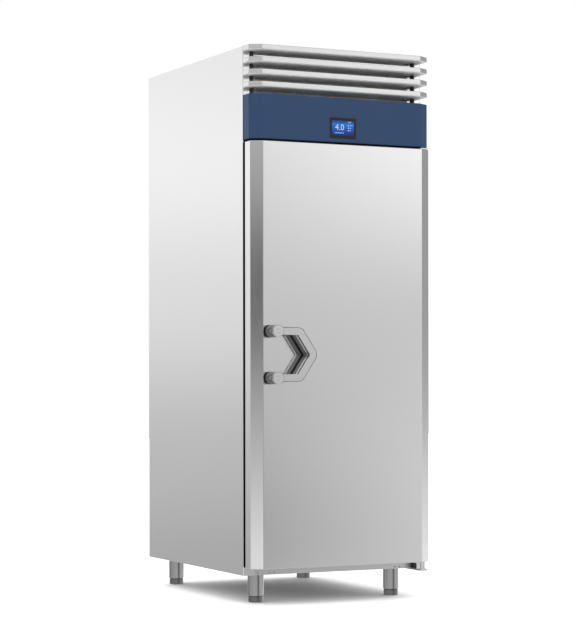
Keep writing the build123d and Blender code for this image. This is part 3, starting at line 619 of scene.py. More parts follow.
def corner_cut_sheet(name, node, z, thickness, depth_to, material):
    """A thin flat sheet in the plan of a louvre blade or of the fascia: slanted front corners, straight
    sides."""
    low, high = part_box(node)
    edge = settings().steel
    lip = edge.louvre_bend
    plan = [(low.x + lip, FACE), (low.x + lip, low.y + edge.louvre_chamfer_depth),
            (low.x + edge.louvre_chamfer_width, low.y + lip),
            (high.x - edge.louvre_chamfer_width, low.y + lip),
            (high.x - lip, low.y + edge.louvre_chamfer_depth), (high.x - lip, FACE)]
    if depth_to > FACE:
        plan += [(edge.louvre_tongue, FACE), (edge.louvre_tongue, depth_to), (-edge.louvre_tongue, depth_to),
                 (-edge.louvre_tongue, FACE)]
    form = bmesh.new()
    base = form.faces.new([form.verts.new((x, y, z)) for x, y in plan])
    below = bmesh.ops.extrude_face_region(form, geom=[base])["geom"]
    bmesh.ops.translate(form, verts=[v for v in below if isinstance(v, bmesh.types.BMVert)],
                        vec=(0, 0, -thickness))
    bmesh.ops.recalc_face_normals(form, faces=form.faces)
    new_piece(name, form, "cabinet", material)


class REFRIGERATOR_OT_cabinet(bpy.types.Operator):
    """Folded side panels, sill, roof and back of the cabinet, and the foam between its walls"""

    bl_idname = "refrigerator.cabinet"
    bl_label = "Cabinet"

    def execute(self, context):
        edge = context.scene.refrigerator.steel
        for node in ("left_side_panel", "right_side_panel"):
            rounded_copy(node, edge.sheet_bend, 0, panel_steel(), sheet=PANEL_SHEET)
        rounded_copy("base_panel", 0, edge.deburr, sill_steel())
        rounded_copy("roof_panel", 0, edge.deburr, panel_steel())
        dress(galvanised_sheet(), "back_panel", "compartment_deck", "rear_grille")
        dress(foam(), "insulation", "door_core")
        widened_frame(edge.frame_reach)
        low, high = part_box("roof_panel")
        inside = PANEL_SHEET + 0.1 * MM
        corners = bmesh.new()
        for side in (-1, 1):
            reach = sorted((side * (edge.louvre_tongue + MM), side * (HALF - inside)))
            add_block(corners, (reach[0], FACE + inside, low.z), (reach[1], low.y - 0.3 * MM, high.z))
        new_piece("roof_corners", corners, "cabinet", panel_steel())
        return {"FINISHED"}


class REFRIGERATOR_OT_rear_grille(bpy.types.Operator):
    """Pressed hoods over the slots of the rear grille"""

    bl_idname = "refrigerator.rear_grille"
    bl_label = "Rear grille hoods"

    def execute(self, context):
        grille = context.scene.refrigerator.grille
        low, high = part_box("rear_grille")
        length, reach, rise = grille.slot_length, grille.hood_reach, grille.hood_rise
        # Section of a hood, in metal 1 mm thick: how far it stands out, and its height over the slot's middle
        outline = ((0, rise), (reach * 0.7, rise * 0.8), (reach, rise * 0.3), (reach, -rise * 0.2),
                   (reach - MM, -rise * 0.2), (reach - MM, rise * 0.2), (reach * 0.6, rise * 0.6),
                   (0, rise * 0.75))
        form = bmesh.new()
        loft(form, [[form.verts.new((x, y, z)) for y, z in outline] for x in (-length / 2, length / 2)])
        hood = bpy.data.objects.new("hood_pattern", mesh_of(form, "hood_pattern"))
        tree, inputs, output = node_tree("rows_of_hoods", {
            "Hood": "Object", "Columns": "Int", "Rows": "Int", "Pitch": "Vector", "Centre": "Vector",
            "Material": "Material",
        })
        pitch = add_node(tree, "ShaderNodeSeparateXYZ", {0: inputs["Pitch"]})
        spans = [
            add_node(tree, "ShaderNodeMath", {
                0: add_node(tree, "ShaderNodeMath", {
                    0: inputs[count], 1: 1.0,
                }, operation="SUBTRACT").outputs[0],
                1: pitch.outputs[axis],
            }, operation="MULTIPLY").outputs[0]
            for count, axis in (("Columns", "X"), ("Rows", "Z"))
        ]
        lattice = add_node(tree, "GeometryNodeMeshGrid", {
            "Vertices X": inputs["Columns"], "Vertices Y": inputs["Rows"], "Size X": spans[0],
            "Size Y": spans[1],
        })
        upright = add_node(tree, "GeometryNodeTransform", {
            "Geometry": lattice.outputs[0], "Rotation": (math.radians(90), 0, 0),
            "Translation": inputs["Centre"],
        })
        pattern = add_node(tree, "GeometryNodeObjectInfo", {"Object": inputs["Hood"]})
        placed = add_node(tree, "GeometryNodeInstanceOnPoints", {
            "Points": upright.outputs[0], "Instance": pattern.outputs["Geometry"],
        })
        end_tree(tree, placed.outputs[0], inputs, output)
        grown("rear_grille_hoods", tree, {
            "Hood": hood, "Columns": grille.columns, "Rows": grille.rows,
            "Pitch": (length + grille.row_pitch, 0.0, grille.row_pitch),
            "Centre": (0.0, high.y, (low.z + high.z) / 2), "Material": galvanised_sheet(),
        }, "cabinet")
        bpy.data.objects.remove(hood)
        return {"FINISHED"}


# Screws of the sill, in millimetres from its middle, and of each roof edge, in metres along it
SILL_SCREWS = (-334, -283, -263, 277, 296)
ROOF_SCREWS = (-0.29, -0.02, 0.25, 0.52)
PANEL_SCREW_PITCH, GRILLE_SCREW_PITCH = 276 * MM, 182 * MM
SCREW_TURN = 6.28  # radians: each head is turned at random


def screw_places():
    """Places of screws and the way their heads face: in front, at the back and in the roof, and in the
    chamber."""
    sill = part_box("base_panel")[0].y
    z_sill = BOTTOM + 7.5 * MM
    front = [((x * MM, sill, z_sill), (0, -1, 0)) for x in SILL_SCREWS]
    hinge_low, hinge_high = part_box("lower_hinge")
    for step in (0.45, 0.68, 0.9):
        y = hinge_low.y + step * (hinge_high.y - hinge_low.y)
        front.append((((hinge_low.x + hinge_high.x) / 2, y, hinge_low.z), (0, 0, -1)))
    rear = []
    for side in (-1, 1):
        rear += [((side * (HALF - 15 * MM), BACK, BOTTOM + 60 * MM + k * PANEL_SCREW_PITCH), (0, 1, 0))
                 for k in range(8)]
        rear += [((side * (HALF - 12 * MM), y, TOP), (0, 0, 1)) for y in ROOF_SCREWS]
    grille_low, grille_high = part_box("rear_grille")
    for k in range(5):
        x = (k - 2) * GRILLE_SCREW_PITCH
        rear += [((x, grille_high.y, grille_low.z + 18 * MM), (0, 1, 0)),
                 ((x, grille_high.y, grille_high.z - 18 * MM), (0, 1, 0))]
    chamber = []
    rack_low, rack_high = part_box("rack_uprights")
    for side in (-1, 1):
        for y in (rack_low.y + 9 * MM, rack_high.y - 9 * MM):
            for z in (rack_low.z + 12 * MM, rack_high.z - 12 * MM):
                chamber.append(((side * (rack_high.x - 18 * MM), y, z), (-side, 0, 0)))
    cover_low, cover_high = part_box("evaporator_cover")
    for x in (cover_low.x + 15 * MM, cover_high.x - 15 * MM):
        for step in (0.03, 0.36, 0.68, 0.97):
            chamber.append(((x, cover_low.y + step * (cover_high.y - cover_low.y), cover_low.z), (0, 0, -1)))
    return front, rear, chamber


class REFRIGERATOR_OT_screws(bpy.types.Operator):
    """Pan-head screws in the sill, hinge, back, roof, racks and evaporator cover"""

    bl_idname = "refrigerator.screws"
    bl_label = "Screws"

    def execute(self, context):
        screws = context.scene.refrigerator.screws
        radius, height = screws.head_diameter / 2, screws.head_height
        # Section of a head, from below the sheet up to the round recess in its top
        profile = ((0, -height * 0.5), (radius, -height * 0.5), (radius, height * 0.3),
                   (radius * 0.8, height * 0.85),
                   (radius * 0.42, height), (radius * 0.36, height * 0.3), (0, height * 0.25))
        turned = lathe(profile, (0, 0, 0), (0, 0, 1), 12)
        pattern = bpy.data.objects.new("screw_pattern", mesh_of(turned, "screw_pattern"))
        tree, inputs, output = node_tree("screw_heads", {
            "Head": "Object", "Seed": "Int", "Material": "Material",
        })
        way = add_node(tree, "GeometryNodeInputNamedAttribute", {"Name": "facing"}, data_type="FLOAT_VECTOR")
        upright = add_node(tree, "FunctionNodeAlignRotationToVector", {"Vector": way.outputs[0]}, axis="Z")
        drive = add_node(tree, "FunctionNodeRandomValue", {
            "Max": SCREW_TURN, "Seed": inputs["Seed"],
        }, data_type="FLOAT")
        spin = add_node(tree, "ShaderNodeCombineXYZ", {"Z": drive.outputs[1]})
        seated = add_node(tree, "FunctionNodeRotateRotation", {
            "Rotation": upright.outputs[0], "Rotate By": spin.outputs[0],
        }, rotation_space="LOCAL")
        dots = add_node(tree, "GeometryNodeMeshToPoints", {"Mesh": inputs["Geometry"]})
        head = add_node(tree, "GeometryNodeObjectInfo", {"Object": inputs["Head"]})
        placed = add_node(tree, "GeometryNodeInstanceOnPoints", {
            "Points": dots.outputs[0], "Instance": head.outputs["Geometry"], "Rotation": seated.outputs[0],
        })
        end_tree(tree, placed.outputs[0], inputs, output)
        for name, points, seed in zip(("front_screws", "rear_screws", "chamber_screws"), screw_places(),
                                      (3, 8, 5)):
            values = {"Head": pattern, "Seed": seed, "Material": zinc()}
            piece = grown(name, tree, values, "cabinet", points)
            piece.data.set_sharp_from_angle(angle=math.radians(30))
        bpy.data.objects.remove(pattern)
        return {"FINISHED"}


class REFRIGERATOR_OT_chamber(bpy.types.Operator):
    """Chamber lining, racks, runners, evaporator and light"""

    bl_idname = "refrigerator.chamber"
    bl_label = "Chamber"

    def execute(self, context):
        edge = context.scene.refrigerator.steel
        dress(lining_steel(), "chamber_floor", "chamber_ceiling", "chamber_left_wall", "chamber_right_wall",
              "chamber_back_wall")
        for node in ("rack_uprights", "tray_runners"):
            rounded_copy(node, 0, edge.deburr, lining_steel())
        rounded_copy("evaporator_cover", edge.sheet_bend, edge.deburr, lining_steel())
        dress(rolled_aluminium(), "evaporator_coil")
        dress(black_abs(), "evaporator_fan")
        dress(black_enamel(), "evaporator_fan_motor")
        dress(opal_polycarbonate(), "chamber_light")
        dress(light_nylon(), "drain_pipe")
        return {"FINISHED"}


class REFRIGERATOR_OT_fan_guard(bpy.types.Operator):
    """Welded wire guard in front of the evaporator fan, and the strainer over the drain"""

    bl_idname = "refrigerator.fan_guard"
    bl_label = "Fan guard and drain strainer"

    def execute(self, context):
        guard = context.scene.refrigerator.guard
        tree, inputs, output = node_tree("wire_guard", {
            "Rings": "Int", "First Radius": "Float", "Pitch": "Float", "Wire": "Float", "Spokes": "Int",
            "Centre": "Vector", "Material": "Material",
        })
        index = add_node(tree, "GeometryNodeInputIndex").outputs[0]
        steps = add_node(tree, "ShaderNodeMath", {0: index, 1: inputs["Pitch"]}, operation="MULTIPLY")
        radius = add_node(tree, "ShaderNodeMath", {
            0: steps.outputs[0], 1: inputs["First Radius"],
        }, operation="ADD")
        stack = add_node(tree, "GeometryNodeMeshLine", {"Count": inputs["Rings"], "Offset": (0, 0, 0)})
        circle = add_node(tree, "GeometryNodeCurvePrimitiveCircle", {"Resolution": 48, "Radius": 1.0})
        rings = add_node(tree, "GeometryNodeInstanceOnPoints", {
            "Points": stack.outputs[0], "Instance": circle.outputs[0], "Scale": radius.outputs[0],
        })
        turn = add_node(tree, "ShaderNodeMath", {0: math.tau, 1: inputs["Spokes"]}, operation="DIVIDE")
        angle = add_node(tree, "ShaderNodeMath", {0: index, 1: turn.outputs[0]}, operation="MULTIPLY")
        way = add_node(tree, "ShaderNodeCombineXYZ", {"Z": angle.outputs[0]})
        last = add_node(tree, "ShaderNodeMath", {0: inputs["Rings"], 1: 1.0}, operation="SUBTRACT")
        span = add_node(tree, "ShaderNodeMath", {
            0: last.outputs[0], 1: inputs["Pitch"],
        }, operation="MULTIPLY")
        reach = add_node(tree, "ShaderNodeMath", {
            0: span.outputs[0], 1: inputs["First Radius"],
        }, operation="ADD")
        below = add_node(tree, "ShaderNodeMath", {0: inputs["Wire"], 1: -0.8}, operation="MULTIPLY")
        inner = add_node(tree, "ShaderNodeCombineXYZ", {"X": inputs["First Radius"], "Z": below.outputs[0]})
        outer = add_node(tree, "ShaderNodeCombineXYZ", {"X": reach.outputs[0], "Z": below.outputs[0]})
        spoke = add_node(tree, "GeometryNodeCurvePrimitiveLine", {
            "Start": inner.outputs[0], "End": outer.outputs[0],
        })
        hub = add_node(tree, "GeometryNodeMeshLine", {"Count": inputs["Spokes"], "Offset": (0, 0, 0)})
        spokes = add_node(tree, "GeometryNodeInstanceOnPoints", {
            "Points": hub.outputs[0], "Instance": spoke.outputs[0], "Rotation": way.outputs[0],
        })
        wires = add_node(tree, "GeometryNodeJoinGeometry")
        for placed in (rings, spokes):
            real = add_node(tree, "GeometryNodeRealizeInstances", {0: placed.outputs[0]})
            tree.links.new(real.outputs[0], wires.inputs[0])
        half_wire = add_node(tree, "ShaderNodeMath", {0: inputs["Wire"], 1: 0.5}, operation="MULTIPLY")
        section = add_node(tree, "GeometryNodeCurvePrimitiveCircle", {
            "Resolution": 8, "Radius": half_wire.outputs[0],
        })
        drawn = add_node(tree, "GeometryNodeCurveToMesh", {
            "Curve": wires.outputs[0], "Profile Curve": section.outputs[0], "Fill Caps": True,
        })
        seated = add_node(tree, "GeometryNodeTransform", {
            "Geometry": drawn.outputs[0], "Translation": inputs["Centre"],
        })
        end_tree(tree, seated.outputs[0], inputs, output)
        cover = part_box("evaporator_cover")[0]
        drain_low, drain_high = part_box("drain_pipe")
        for name, values in (
            ("evaporator_fan_guard", {
                "Rings": guard.rings, "First Radius": guard.first_radius, "Pitch": guard.pitch,
                "Wire": guard.wire, "Spokes": guard.spokes,
                "Centre": (0.0, cover.y + guard.fan_setback, cover.z - guard.wire * 0.4),
            }),
            ("drain_strainer", {
                "Rings": 4, "First Radius": 3 * MM, "Pitch": 3.2 * MM, "Wire": 1.4 * MM, "Spokes": 6,
                "Centre": (0.0, (drain_low.y + drain_high.y) / 2, drain_high.z + 1.6 * MM),
            }),
        ):
            piece = grown(name, tree, {**values, "Material": tube_steel_painted_dark()}, "cabinet")
            piece.data.shade_smooth()
        return {"FINISHED"}


class REFRIGERATOR_OT_machine_compartment(bpy.types.Operator):
    """Air filter, condenser, compressor and the rest of the machine compartment"""

    bl_idname = "refrigerator.machine_compartment"
    bl_label = "Machine compartment"

    def execute(self, context):
        dress(fleece_with_painted_glow(), "air_filter")
        dress(rolled_aluminium(), "condenser_coil")
        dress(galvanised_sheet(), "condenser_shroud")
        dress(black_abs(), "condenser_fan", "cable_gland")
        dress(black_enamel(), "condenser_fan_motor", "compressor", "liquid_receiver", "filter_drier")
        dress(drawn_copper(), "refrigerant_pipes")
        dress(light_nylon(), "electrical_box")
        return {"FINISHED"}


class REFRIGERATOR_OT_louvres(bpy.types.Operator):
    """Four folded louvre blades with their coated undersides and end gussets, and the dark posts
    between them"""

    bl_idname = "refrigerator.louvres"
    bl_label = "Louvres"

    def execute(self, context):
        edge = context.scene.refrigerator.steel
        gussets = bmesh.new()
        for node in LOUVRES:
            rounded_copy(node, edge.louvre_bend, 0, strip_steel())
            low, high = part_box(node)
            coat, back = 0.4 * MM, high.y - MM
            corner_cut_sheet(node + "_deadening", node, low.z, coat, back, deadening_paint())
            section = ((FACE, low.z - 0.3 * MM), (back, low.z - 0.3 * MM), (back, low.z - 0.8 * MM),
                       (FACE, low.z - edge.louvre_gusset))
            for side in (-1, 1):
                loft(gussets, [
                    [gussets.verts.new((side * x, y, z)) for y, z in section]
                    for x in (edge.louvre_tongue - MM, edge.louvre_tongue + 3 * MM)
                ])
        new_piece("louvre_gussets", gussets, "cabinet", light_nylon())
        dress(black_abs(), "louvre_posts")
        return {"FINISHED"}


class REFRIGERATOR_OT_fascia(bpy.types.Operator):
    """Blue control fascia with navy painted shade in the joints of its returns, a black sheet of painted
    shade below it, and the bezel of the display
    """

    bl_idname = "refrigerator.fascia"
    bl_label = "Fascia"

    def execute(self, context):
        edge = context.scene.refrigerator.steel
        low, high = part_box("fascia_panel")
        rounded_copy("fascia_panel", edge.sheet_bend, edge.deburr, powder_coat_blue())
        # A black sheet under the fascia: painted shade in the gap above the door.
        corner_cut_sheet("fascia_closing_strip", "fascia_panel", low.z, 2 * MM, FACE, gasket_pvc())
        rounded_copy("display_bezel", 1 * MM, 0, bezel_plastic())
        # Navy strips on the rear edges of the two returns: painted shade in the joints.
        coat = 0.15 * MM
        joint_shade_strips = bmesh.new()
        for near, far in ((low.x - coat, low.x), (high.x, high.x + coat)):
            add_block(joint_shade_strips, (near, FACE - edge.fascia_hem, low.z + 2 * MM),
                      (far, FACE - 0.3 * MM, high.z - MM))
        new_piece("fascia_hem", joint_shade_strips, "cabinet", painted_joint_shade())
        return {"FINISHED"}


NUMERAL_SHARE = 0.69  # a numeral's height, as a share of its font's size
MARK_RISE = 0.05 * MM  # height of the display's marks over its glass


def flat_letters(words, height, x, z, y):
    """Thin raised numerals that face the viewer, as a mesh; x and z give the lower left corner."""
    curve = bpy.data.curves.new("letters", "FONT")
    curve.body = words
    curve.size = height / NUMERAL_SHARE
    curve.extrude = MARK_RISE
    curve.resolution_u = 3
    carrier = new_object("letters", curve)
    mesh = evaluated_mesh(carrier)
    bpy.data.objects.remove(carrier)
    mesh.transform(Matrix.Translation((x, y, z)) @ Matrix.Rotation(math.radians(90), 4, "X"))
    return mesh


class REFRIGERATOR_OT_display(bpy.types.Operator):
    """Glass of the display with its lit picture: a plain reading, a column of marks and a bar"""

    bl_idname = "refrigerator.display"
    bl_label = "Display"

    def execute(self, context):
        display = context.scene.refrigerator.display
        low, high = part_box("display_screen")
        width, height = high.x - low.x, high.z - low.z
        rounded_copy("display_screen", 0.4 * MM, 0, lit_glass(low.z, high.z))
        front = low.y - MARK_RISE

        # Every mark's place and size are shares of the screen's width and height.
        def bar(form, left, right, bottom, top):
            add_block(form, (low.x + left * width, front - MARK_RISE, low.z + bottom * height),
                      (low.x + right * width, front, low.z + top * height))

        white = bmesh.new()
        for words, tall, across, up in ((display.reading, 0.4, 0.14, 0.36), (display.clock, 0.09, 0.7, 0.87)):
            white.from_mesh(flat_letters(words, tall * height, low.x + across * width, low.z + up * height,
                                         front))
        for k in range(3):
            up = 0.66 - 0.17 * k
            bar(white, 0.72, 0.78, up, up + 0.06)
            bar(white, 0.81, 0.93 - 0.03 * k, up + 0.02, up + 0.045)
        new_piece("display_white_marks", white, "cabinet", lamp_colour("lit_white_pixels", "#BFD2F2"))

        cyan = bmesh.new()
        bar(cyan, 0.12, 0.46, 0.13, 0.2)
        place = Matrix.Translation((low.x + 0.5 * width, front - 1.2 * MARK_RISE, low.z + 0.165 * height))
        bmesh.ops.create_circle(cyan, cap_ends=True, segments=20, radius=0.05 * height,
                                matrix=place @ Matrix.Rotation(math.radians(90), 4, "X"))
        new_piece("display_cyan_marks", cyan, "cabinet", lamp_colour("lit_cyan_pixels", "#2FB4FF"))
        return {"FINISHED"}


# Section of the seal: distance in from the door's edge and distance out from the pan, in millimetres.
GASKET_SECTION = (
    (6, 3.4), (13, 2.6), (14, 0), (36, 0), (36, 4.7), (34.4, 6.2), (35.6, 8.2), (34.2, 10.1), (35.6, 11.3),
    (35.8, 15.1), (35, 15.7), (20, 15.7), (19.2, 15.1), (19.4, 11.3), (19.8, 10.1), (18.4, 8.2), (19.6, 6.2),
    (18.5, 5), (6.2, 5), (5.7, 4.2),
)


def mitred_ring(section, around, y_back):
    """A section swept round a door and mitred at its corners, as welded seals are."""
    low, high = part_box(around)
    form = bmesh.new()
    corners = [
        [form.verts.new((x - right * inset * MM, y_back + out * MM, z - up * inset * MM))
         for inset, out in section]
        for x, right, z, up in (
            (high.x, 1, high.z, 1), (low.x, -1, high.z, 1), (low.x, -1, low.z, -1), (high.x, 1, low.z, -1))
    ]
    return loft(form, corners, closed=True)


class REFRIGERATOR_OT_door(bpy.types.Operator):
    """Door skin, inner pan, seal and bushes"""

    bl_idname = "refrigerator.door"
    bl_label = "Door"

    def execute(self, context):
        edge = context.scene.refrigerator.steel
        rounded_copy("door_outer_skin", edge.sheet_bend, edge.deburr, panel_steel())
        rounded_copy("door_inner_pan", edge.sheet_bend, 0, lining_steel())
        seal = mitred_ring(GASKET_SECTION, "door_outer_skin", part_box("door_gasket")[0].y)
        new_piece("door_gasket_finished", seal, "door", gasket_pvc(), ["door_gasket"])
        dress(light_nylon(), "hinge_bushes")
        return {"FINISHED"}


def painted_shade_outline(node, inset, width, rise):
    """A fine dark line along the outer outline of a plate that faces the viewer, which paints the shade at
    the plate's outer edge, as a closed form.
    """
    plate = welded(node)
    low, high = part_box(node)
    centre = Vector((low.x, low.y, (low.z + high.z) / 2))
    # Corners of the front face's outer outline, each with the normals of the walls that meet there
    outward = {}
    for edge in plate.edges:
        facing = [f.normal.y < -0.99 for f in edge.link_faces]
        if facing.count(True) != 1:
            continue
        side = [f.normal for f in edge.link_faces if f.normal.y > -0.9][0]
        middle = (edge.verts[0].co + edge.verts[1].co) / 2
        if side.dot(middle - centre) > 0 and side.x > -0.3:
            for vertex in edge.verts:
                outward.setdefault(tuple(vertex.co), []).append(side)
    plate.free()
    # The same corners in order round the centre, each with its mitred way out
    path = []
    for place, normals in outward.items():
        mean = sum(normals, Vector()).normalized()
        path.append((math.atan2(place[2] - centre.z, place[0] - centre.x), Vector(place),
                     mean / mean.dot(normals[0])))
    path.sort(key=lambda step: step[0])
    form = bmesh.new()
    section = ((inset, rise), (inset, -rise), (inset + width, -rise), (inset + width, rise))
    return loft(form, [
        [form.verts.new(place - away * reach + Vector((0, lift, 0))) for reach, lift in section]
        for _, place, away in path
    ])


def shade_seat_under(node, height, margin):
    """A low frame around the foot of a part that stands on the door, a little wider than the part all round;
    set in black, it paints the contact shade at the part's foot."""
    shade_seat = welded(node)
    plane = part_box(node)[1].y
    foot = [f for f in shade_seat.faces if f.normal.y > 0.99 and f.calc_center_median().y > plane - 0.1 * MM]
    bmesh.ops.delete(shade_seat, geom=[f for f in shade_seat.faces if f not in foot], context="FACES")
    raised = bmesh.ops.extrude_face_region(shade_seat, geom=shade_seat.faces[:])["geom"]
    bmesh.ops.translate(shade_seat, verts=[v for v in raised if isinstance(v, bmesh.types.BMVert)],
                        vec=(0, -height, 0))
    bmesh.ops.recalc_face_normals(shade_seat, faces=shade_seat.faces)
    # Every corner moves out along its walls; all moves are found first, so that none changes a normal.
    moves = []
    for vertex in shade_seat.verts:
        sides = [f.normal.copy() for f in vertex.link_faces if abs(f.normal.y) < 0.1]
        if sides:
            mean = sum(sides, Vector()).normalized()
            moves.append((vertex, mean * margin / max(mean.dot(sides[0]), 0.3)))
    for vertex, move in moves:
        vertex.co += move
    return shade_seat


class REFRIGERATOR_OT_handle(bpy.types.Operator):
    """Six-sided pull handle in its layers, with the turned caps on its bosses, a black line of painted shade
    along its plate, and a black frame at its foot that paints the contact shade
    """

    bl_idname = "refrigerator.handle"
    bl_label = "Handle"

    def execute(self, context):
        handle = context.scene.refrigerator.handle
        rounded_copy("handle_core", handle.edge_radius, 0, grey_nylon())
        rounded_copy("handle_band", handle.edge_radius, 0, strip_steel())
        # The neck between band and plate is black: partly its own black plastic, partly painted shade of the
        # groove it lies in.
        dress(frame_pvc(), "handle_neck")
        rounded_copy("handle_front_plate", handle.plate_radius, 0, handle_steel())
        # A black line along the plate's outer edge: painted shade.
        shade_line = painted_shade_outline("handle_front_plate", handle.outline_inset, handle.outline_width, 0.1 * MM)
        new_piece("handle_outline", shade_line, "door", black_abs())
        low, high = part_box("handle_caps")
        radius, depth = handle.cap_radius, high.y - low.y
        step, groove, lug, hole = 1.5 * MM, handle.cap_groove, handle.lug_radius, handle.lug_hole_radius
        # Sections from the foot's middle up to the top's middle: radius and height above the boss
        disc = ((0, 0), (radius, 0), (radius, depth - step - 0.6 * MM), (radius - 0.6 * MM, depth - step),
                (radius - 1.1 * MM, depth - step), (radius - 1.2 * MM, depth - 2 * step),
                (radius - 2.5 * MM, depth - 2 * step), (radius - 2.6 * MM, depth - 0.6 * MM),
                (radius - 3.2 * MM, depth), (groove + 1.5 * MM, depth), (groove + 0.4 * MM, depth - 1 * MM),
                (groove - 0.4 * MM, depth - 1 * MM), (groove - 1.5 * MM, depth), (0, depth))
        tab = ((0, 0), (lug, 0), (lug, depth - step - 0.4 * MM), (lug - 0.4 * MM, depth - step),
               (hole + 0.4 * MM, depth - step), (hole, depth - step - 0.4 * MM), (hole, MM), (0, MM))
        caps, lugs = bmesh.new(), bmesh.new()
        for z in (low.z + radius, high.z - radius):
            caps.from_mesh(mesh_of(lathe(disc, (high.x - radius, high.y, z), (0, -1, 0), 64), "cap_part"))
            lugs.from_mesh(mesh_of(lathe(tab, (low.x + lug, high.y, z), (0, -1, 0), 32), "lug_part"))
        weighted_normals(
            new_piece("handle_caps_finished", caps, "door", turned_steel(), ["handle_caps"]))
        weighted_normals(new_piece("handle_lugs", lugs, "door", zinc()))
        # The black frame at the handle's foot paints the contact shade where the handle meets the door.
        shade_seat = shade_seat_under("handle_core", handle.shade_seat_height, 0.4 * MM)
        new_piece("handle_seat", shade_seat, "door", frame_pvc())
        return {"FINISHED"}


class REFRIGERATOR_OT_hinges(bpy.types.Operator):
    """Hinge plates with their pins, and the stop post beside the lower pivot"""

    bl_idname = "refrigerator.hinges"
    bl_label = "Hinges"

    def execute(self, context):
        edge = context.scene.refrigerator.steel
        for node in ("lower_hinge", "upper_hinge"):
            rounded_copy(node, edge.plate_round, edge.deburr, strip_steel())
        dress(black_abs(), "hinge_stop_post")
        return {"FINISHED"}


class REFRIGERATOR_OT_legs(bpy.types.Operator):
    """Leg tubes and the screw feet inside them"""

    bl_idname = "refrigerator.legs"
    bl_label = "Legs"

    def execute(self, context):
        edge = context.scene.refrigerator.steel
        rounded_copy("leg_tubes", edge.plate_round, edge.deburr, tube_steel_painted_dark())
        leg = context.scene.refrigerator.leg
        for node in FEET:
            low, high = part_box(node)
            radius, neck, stem = (high.x - low.x) / 2, leg.foot_neck_radius, leg.stem_radius
            show, inside = leg.foot_show, leg.foot_inside
            # From the middle of the sole: the sole, the waist at the tube's mouth, the part in the
            # tube, and the stem
            profile = ((0, 0), (radius - 4 * MM, 0), (radius - 1 * MM, 1 * MM), (radius, 3.5 * MM),
                       (radius, show - 4.5 * MM), (radius - 0.8 * MM, show - 3.6 * MM),
                       (neck, show - 3.2 * MM),
                       (neck, show + 1 * MM), (radius - 0.4 * MM, show + 1.6 * MM),
                       (radius - 0.4 * MM, show + inside), (stem, show + inside), (stem, high.z - MM),
                       (stem - MM, high.z), (0, high.z))
            form = lathe(profile, ((low.x + high.x) / 2, (low.y + high.y) / 2, 0), (0, 0, 1), 64)
            weighted_normals(new_piece(node + "_finished", form, node, foot_steel_painted_dark(), [node]),
                             angle=28)
        return {"FINISHED"}


class REFRIGERATOR_OT_stage(bpy.types.Operator):
    """Pale floor, soft studio light and the camera"""

    bl_idname = "refrigerator.stage"
    bl_label = "Stage"

    def execute(self, context):
        stage = context.scene.refrigerator.stage
        context.scene.view_settings.view_transform = "Standard"
        sheet = bmesh.new()
        bmesh.ops.create_grid(sheet, x_segments=1, y_segments=1, size=stage.floor_size / 2)
        floor = new_object("floor", mesh_of(sheet, "floor"))
        set_material(floor, coated("matt_white_floor_paint", stage.floor_hex, 0.8, 20 * MM, 0.02))
        floor.visible_glossy = False
        make_world(stage)
        make_overhead_light(stage)
        make_camera()
        return {"FINISHED"}


# The studio that the steel mirrors, side by side: pairs of elevation in degrees, from the floor up, and
# brightness. From the camera, the door's front mirrors near_front and far_front, its slanted edges
# camera_side and right_side, and the left side panel rear_side.
STUDIO_SIDES = {
    "camera_side": ((-25, 0.85), (-13, 0.95), (-6, 1.35), (-2, 0.72), (-0.3, 0.55), (1.6, 0.1), (3.2, 0.1),
                    (5.2, 0.6), (9, 0.85), (24, 1.25), (45, 0.5), (80, 0.15)),
    "far_left": ((-25, 0.85), (-6, 1.1), (0, 0.62), (4, 0.45), (12, 0.6), (24, 1.1), (45, 0.5), (80, 0.15)),
    "near_front": ((-12, 0.75), (-6.2, 0.62), (-5.3, 0.02), (-0.7, 0.53), (1.8, 0.88), (6.2, 0.72), (9, 1.4),
                   (14, 1.1), (24, 1.15), (45, 0.5), (80, 0.15)),
    "far_front": ((-25, 0.8), (-13, 0.9), (-6, 1.2), (-3.2, 1.3), (-0.7, 1.14), (1.8, 0.88), (6.2, 1.85),
                  (9, 1.95), (13, 1.05), (24, 0.9), (45, 0.45), (80, 0.15)),
    "right_side": ((-25, 0.8), (-13, 0.95), (-6, 1.4), (-3, 1.0), (-0.5, 0.63), (1.2, 0.52), (9, 0.5),
                   (40, 0.35), (80, 0.12)),
    "rear_side": ((-12, 0.7), (-5.6, 0.6), (-2, 0.77), (2, 1.12), (6, 1.4), (9, 1.3), (18, 0.45), (35, 0.5),
                  (80, 0.15)),
}
DEGREES = 57.3  # in a radian
REAR_DELAY = 35.0  # degrees by which the studio's rear side begins later on the right than on the left


def elevation_ramp(tree, elevation, stops):
    """Studio brightness against elevation; the stops are pairs of degrees and brightness."""
    low, high = stops[0][0], stops[-1][0]
    place = add_node(tree, "ShaderNodeMapRange", {"Value": elevation, "From Min": low, "From Max": high})
    ramp = add_node(tree, "ShaderNodeValToRGB", {"Fac": place.outputs[0]})
    ramp.color_ramp.interpolation = "EASE"
    brightest = max(value for _, value in stops)
    for degrees, value in stops[1:-1]:
        ramp.color_ramp.elements.new((degrees - low) / (high - low))
    for element, (_, value) in zip(ramp.color_ramp.elements, stops):
        element.color = (value / brightest,) * 3 + (1.0,)
    return add_node(tree, "ShaderNodeMath", {
        0: ramp.outputs[0], 1: brightest,
    }, operation="MULTIPLY").outputs[0]


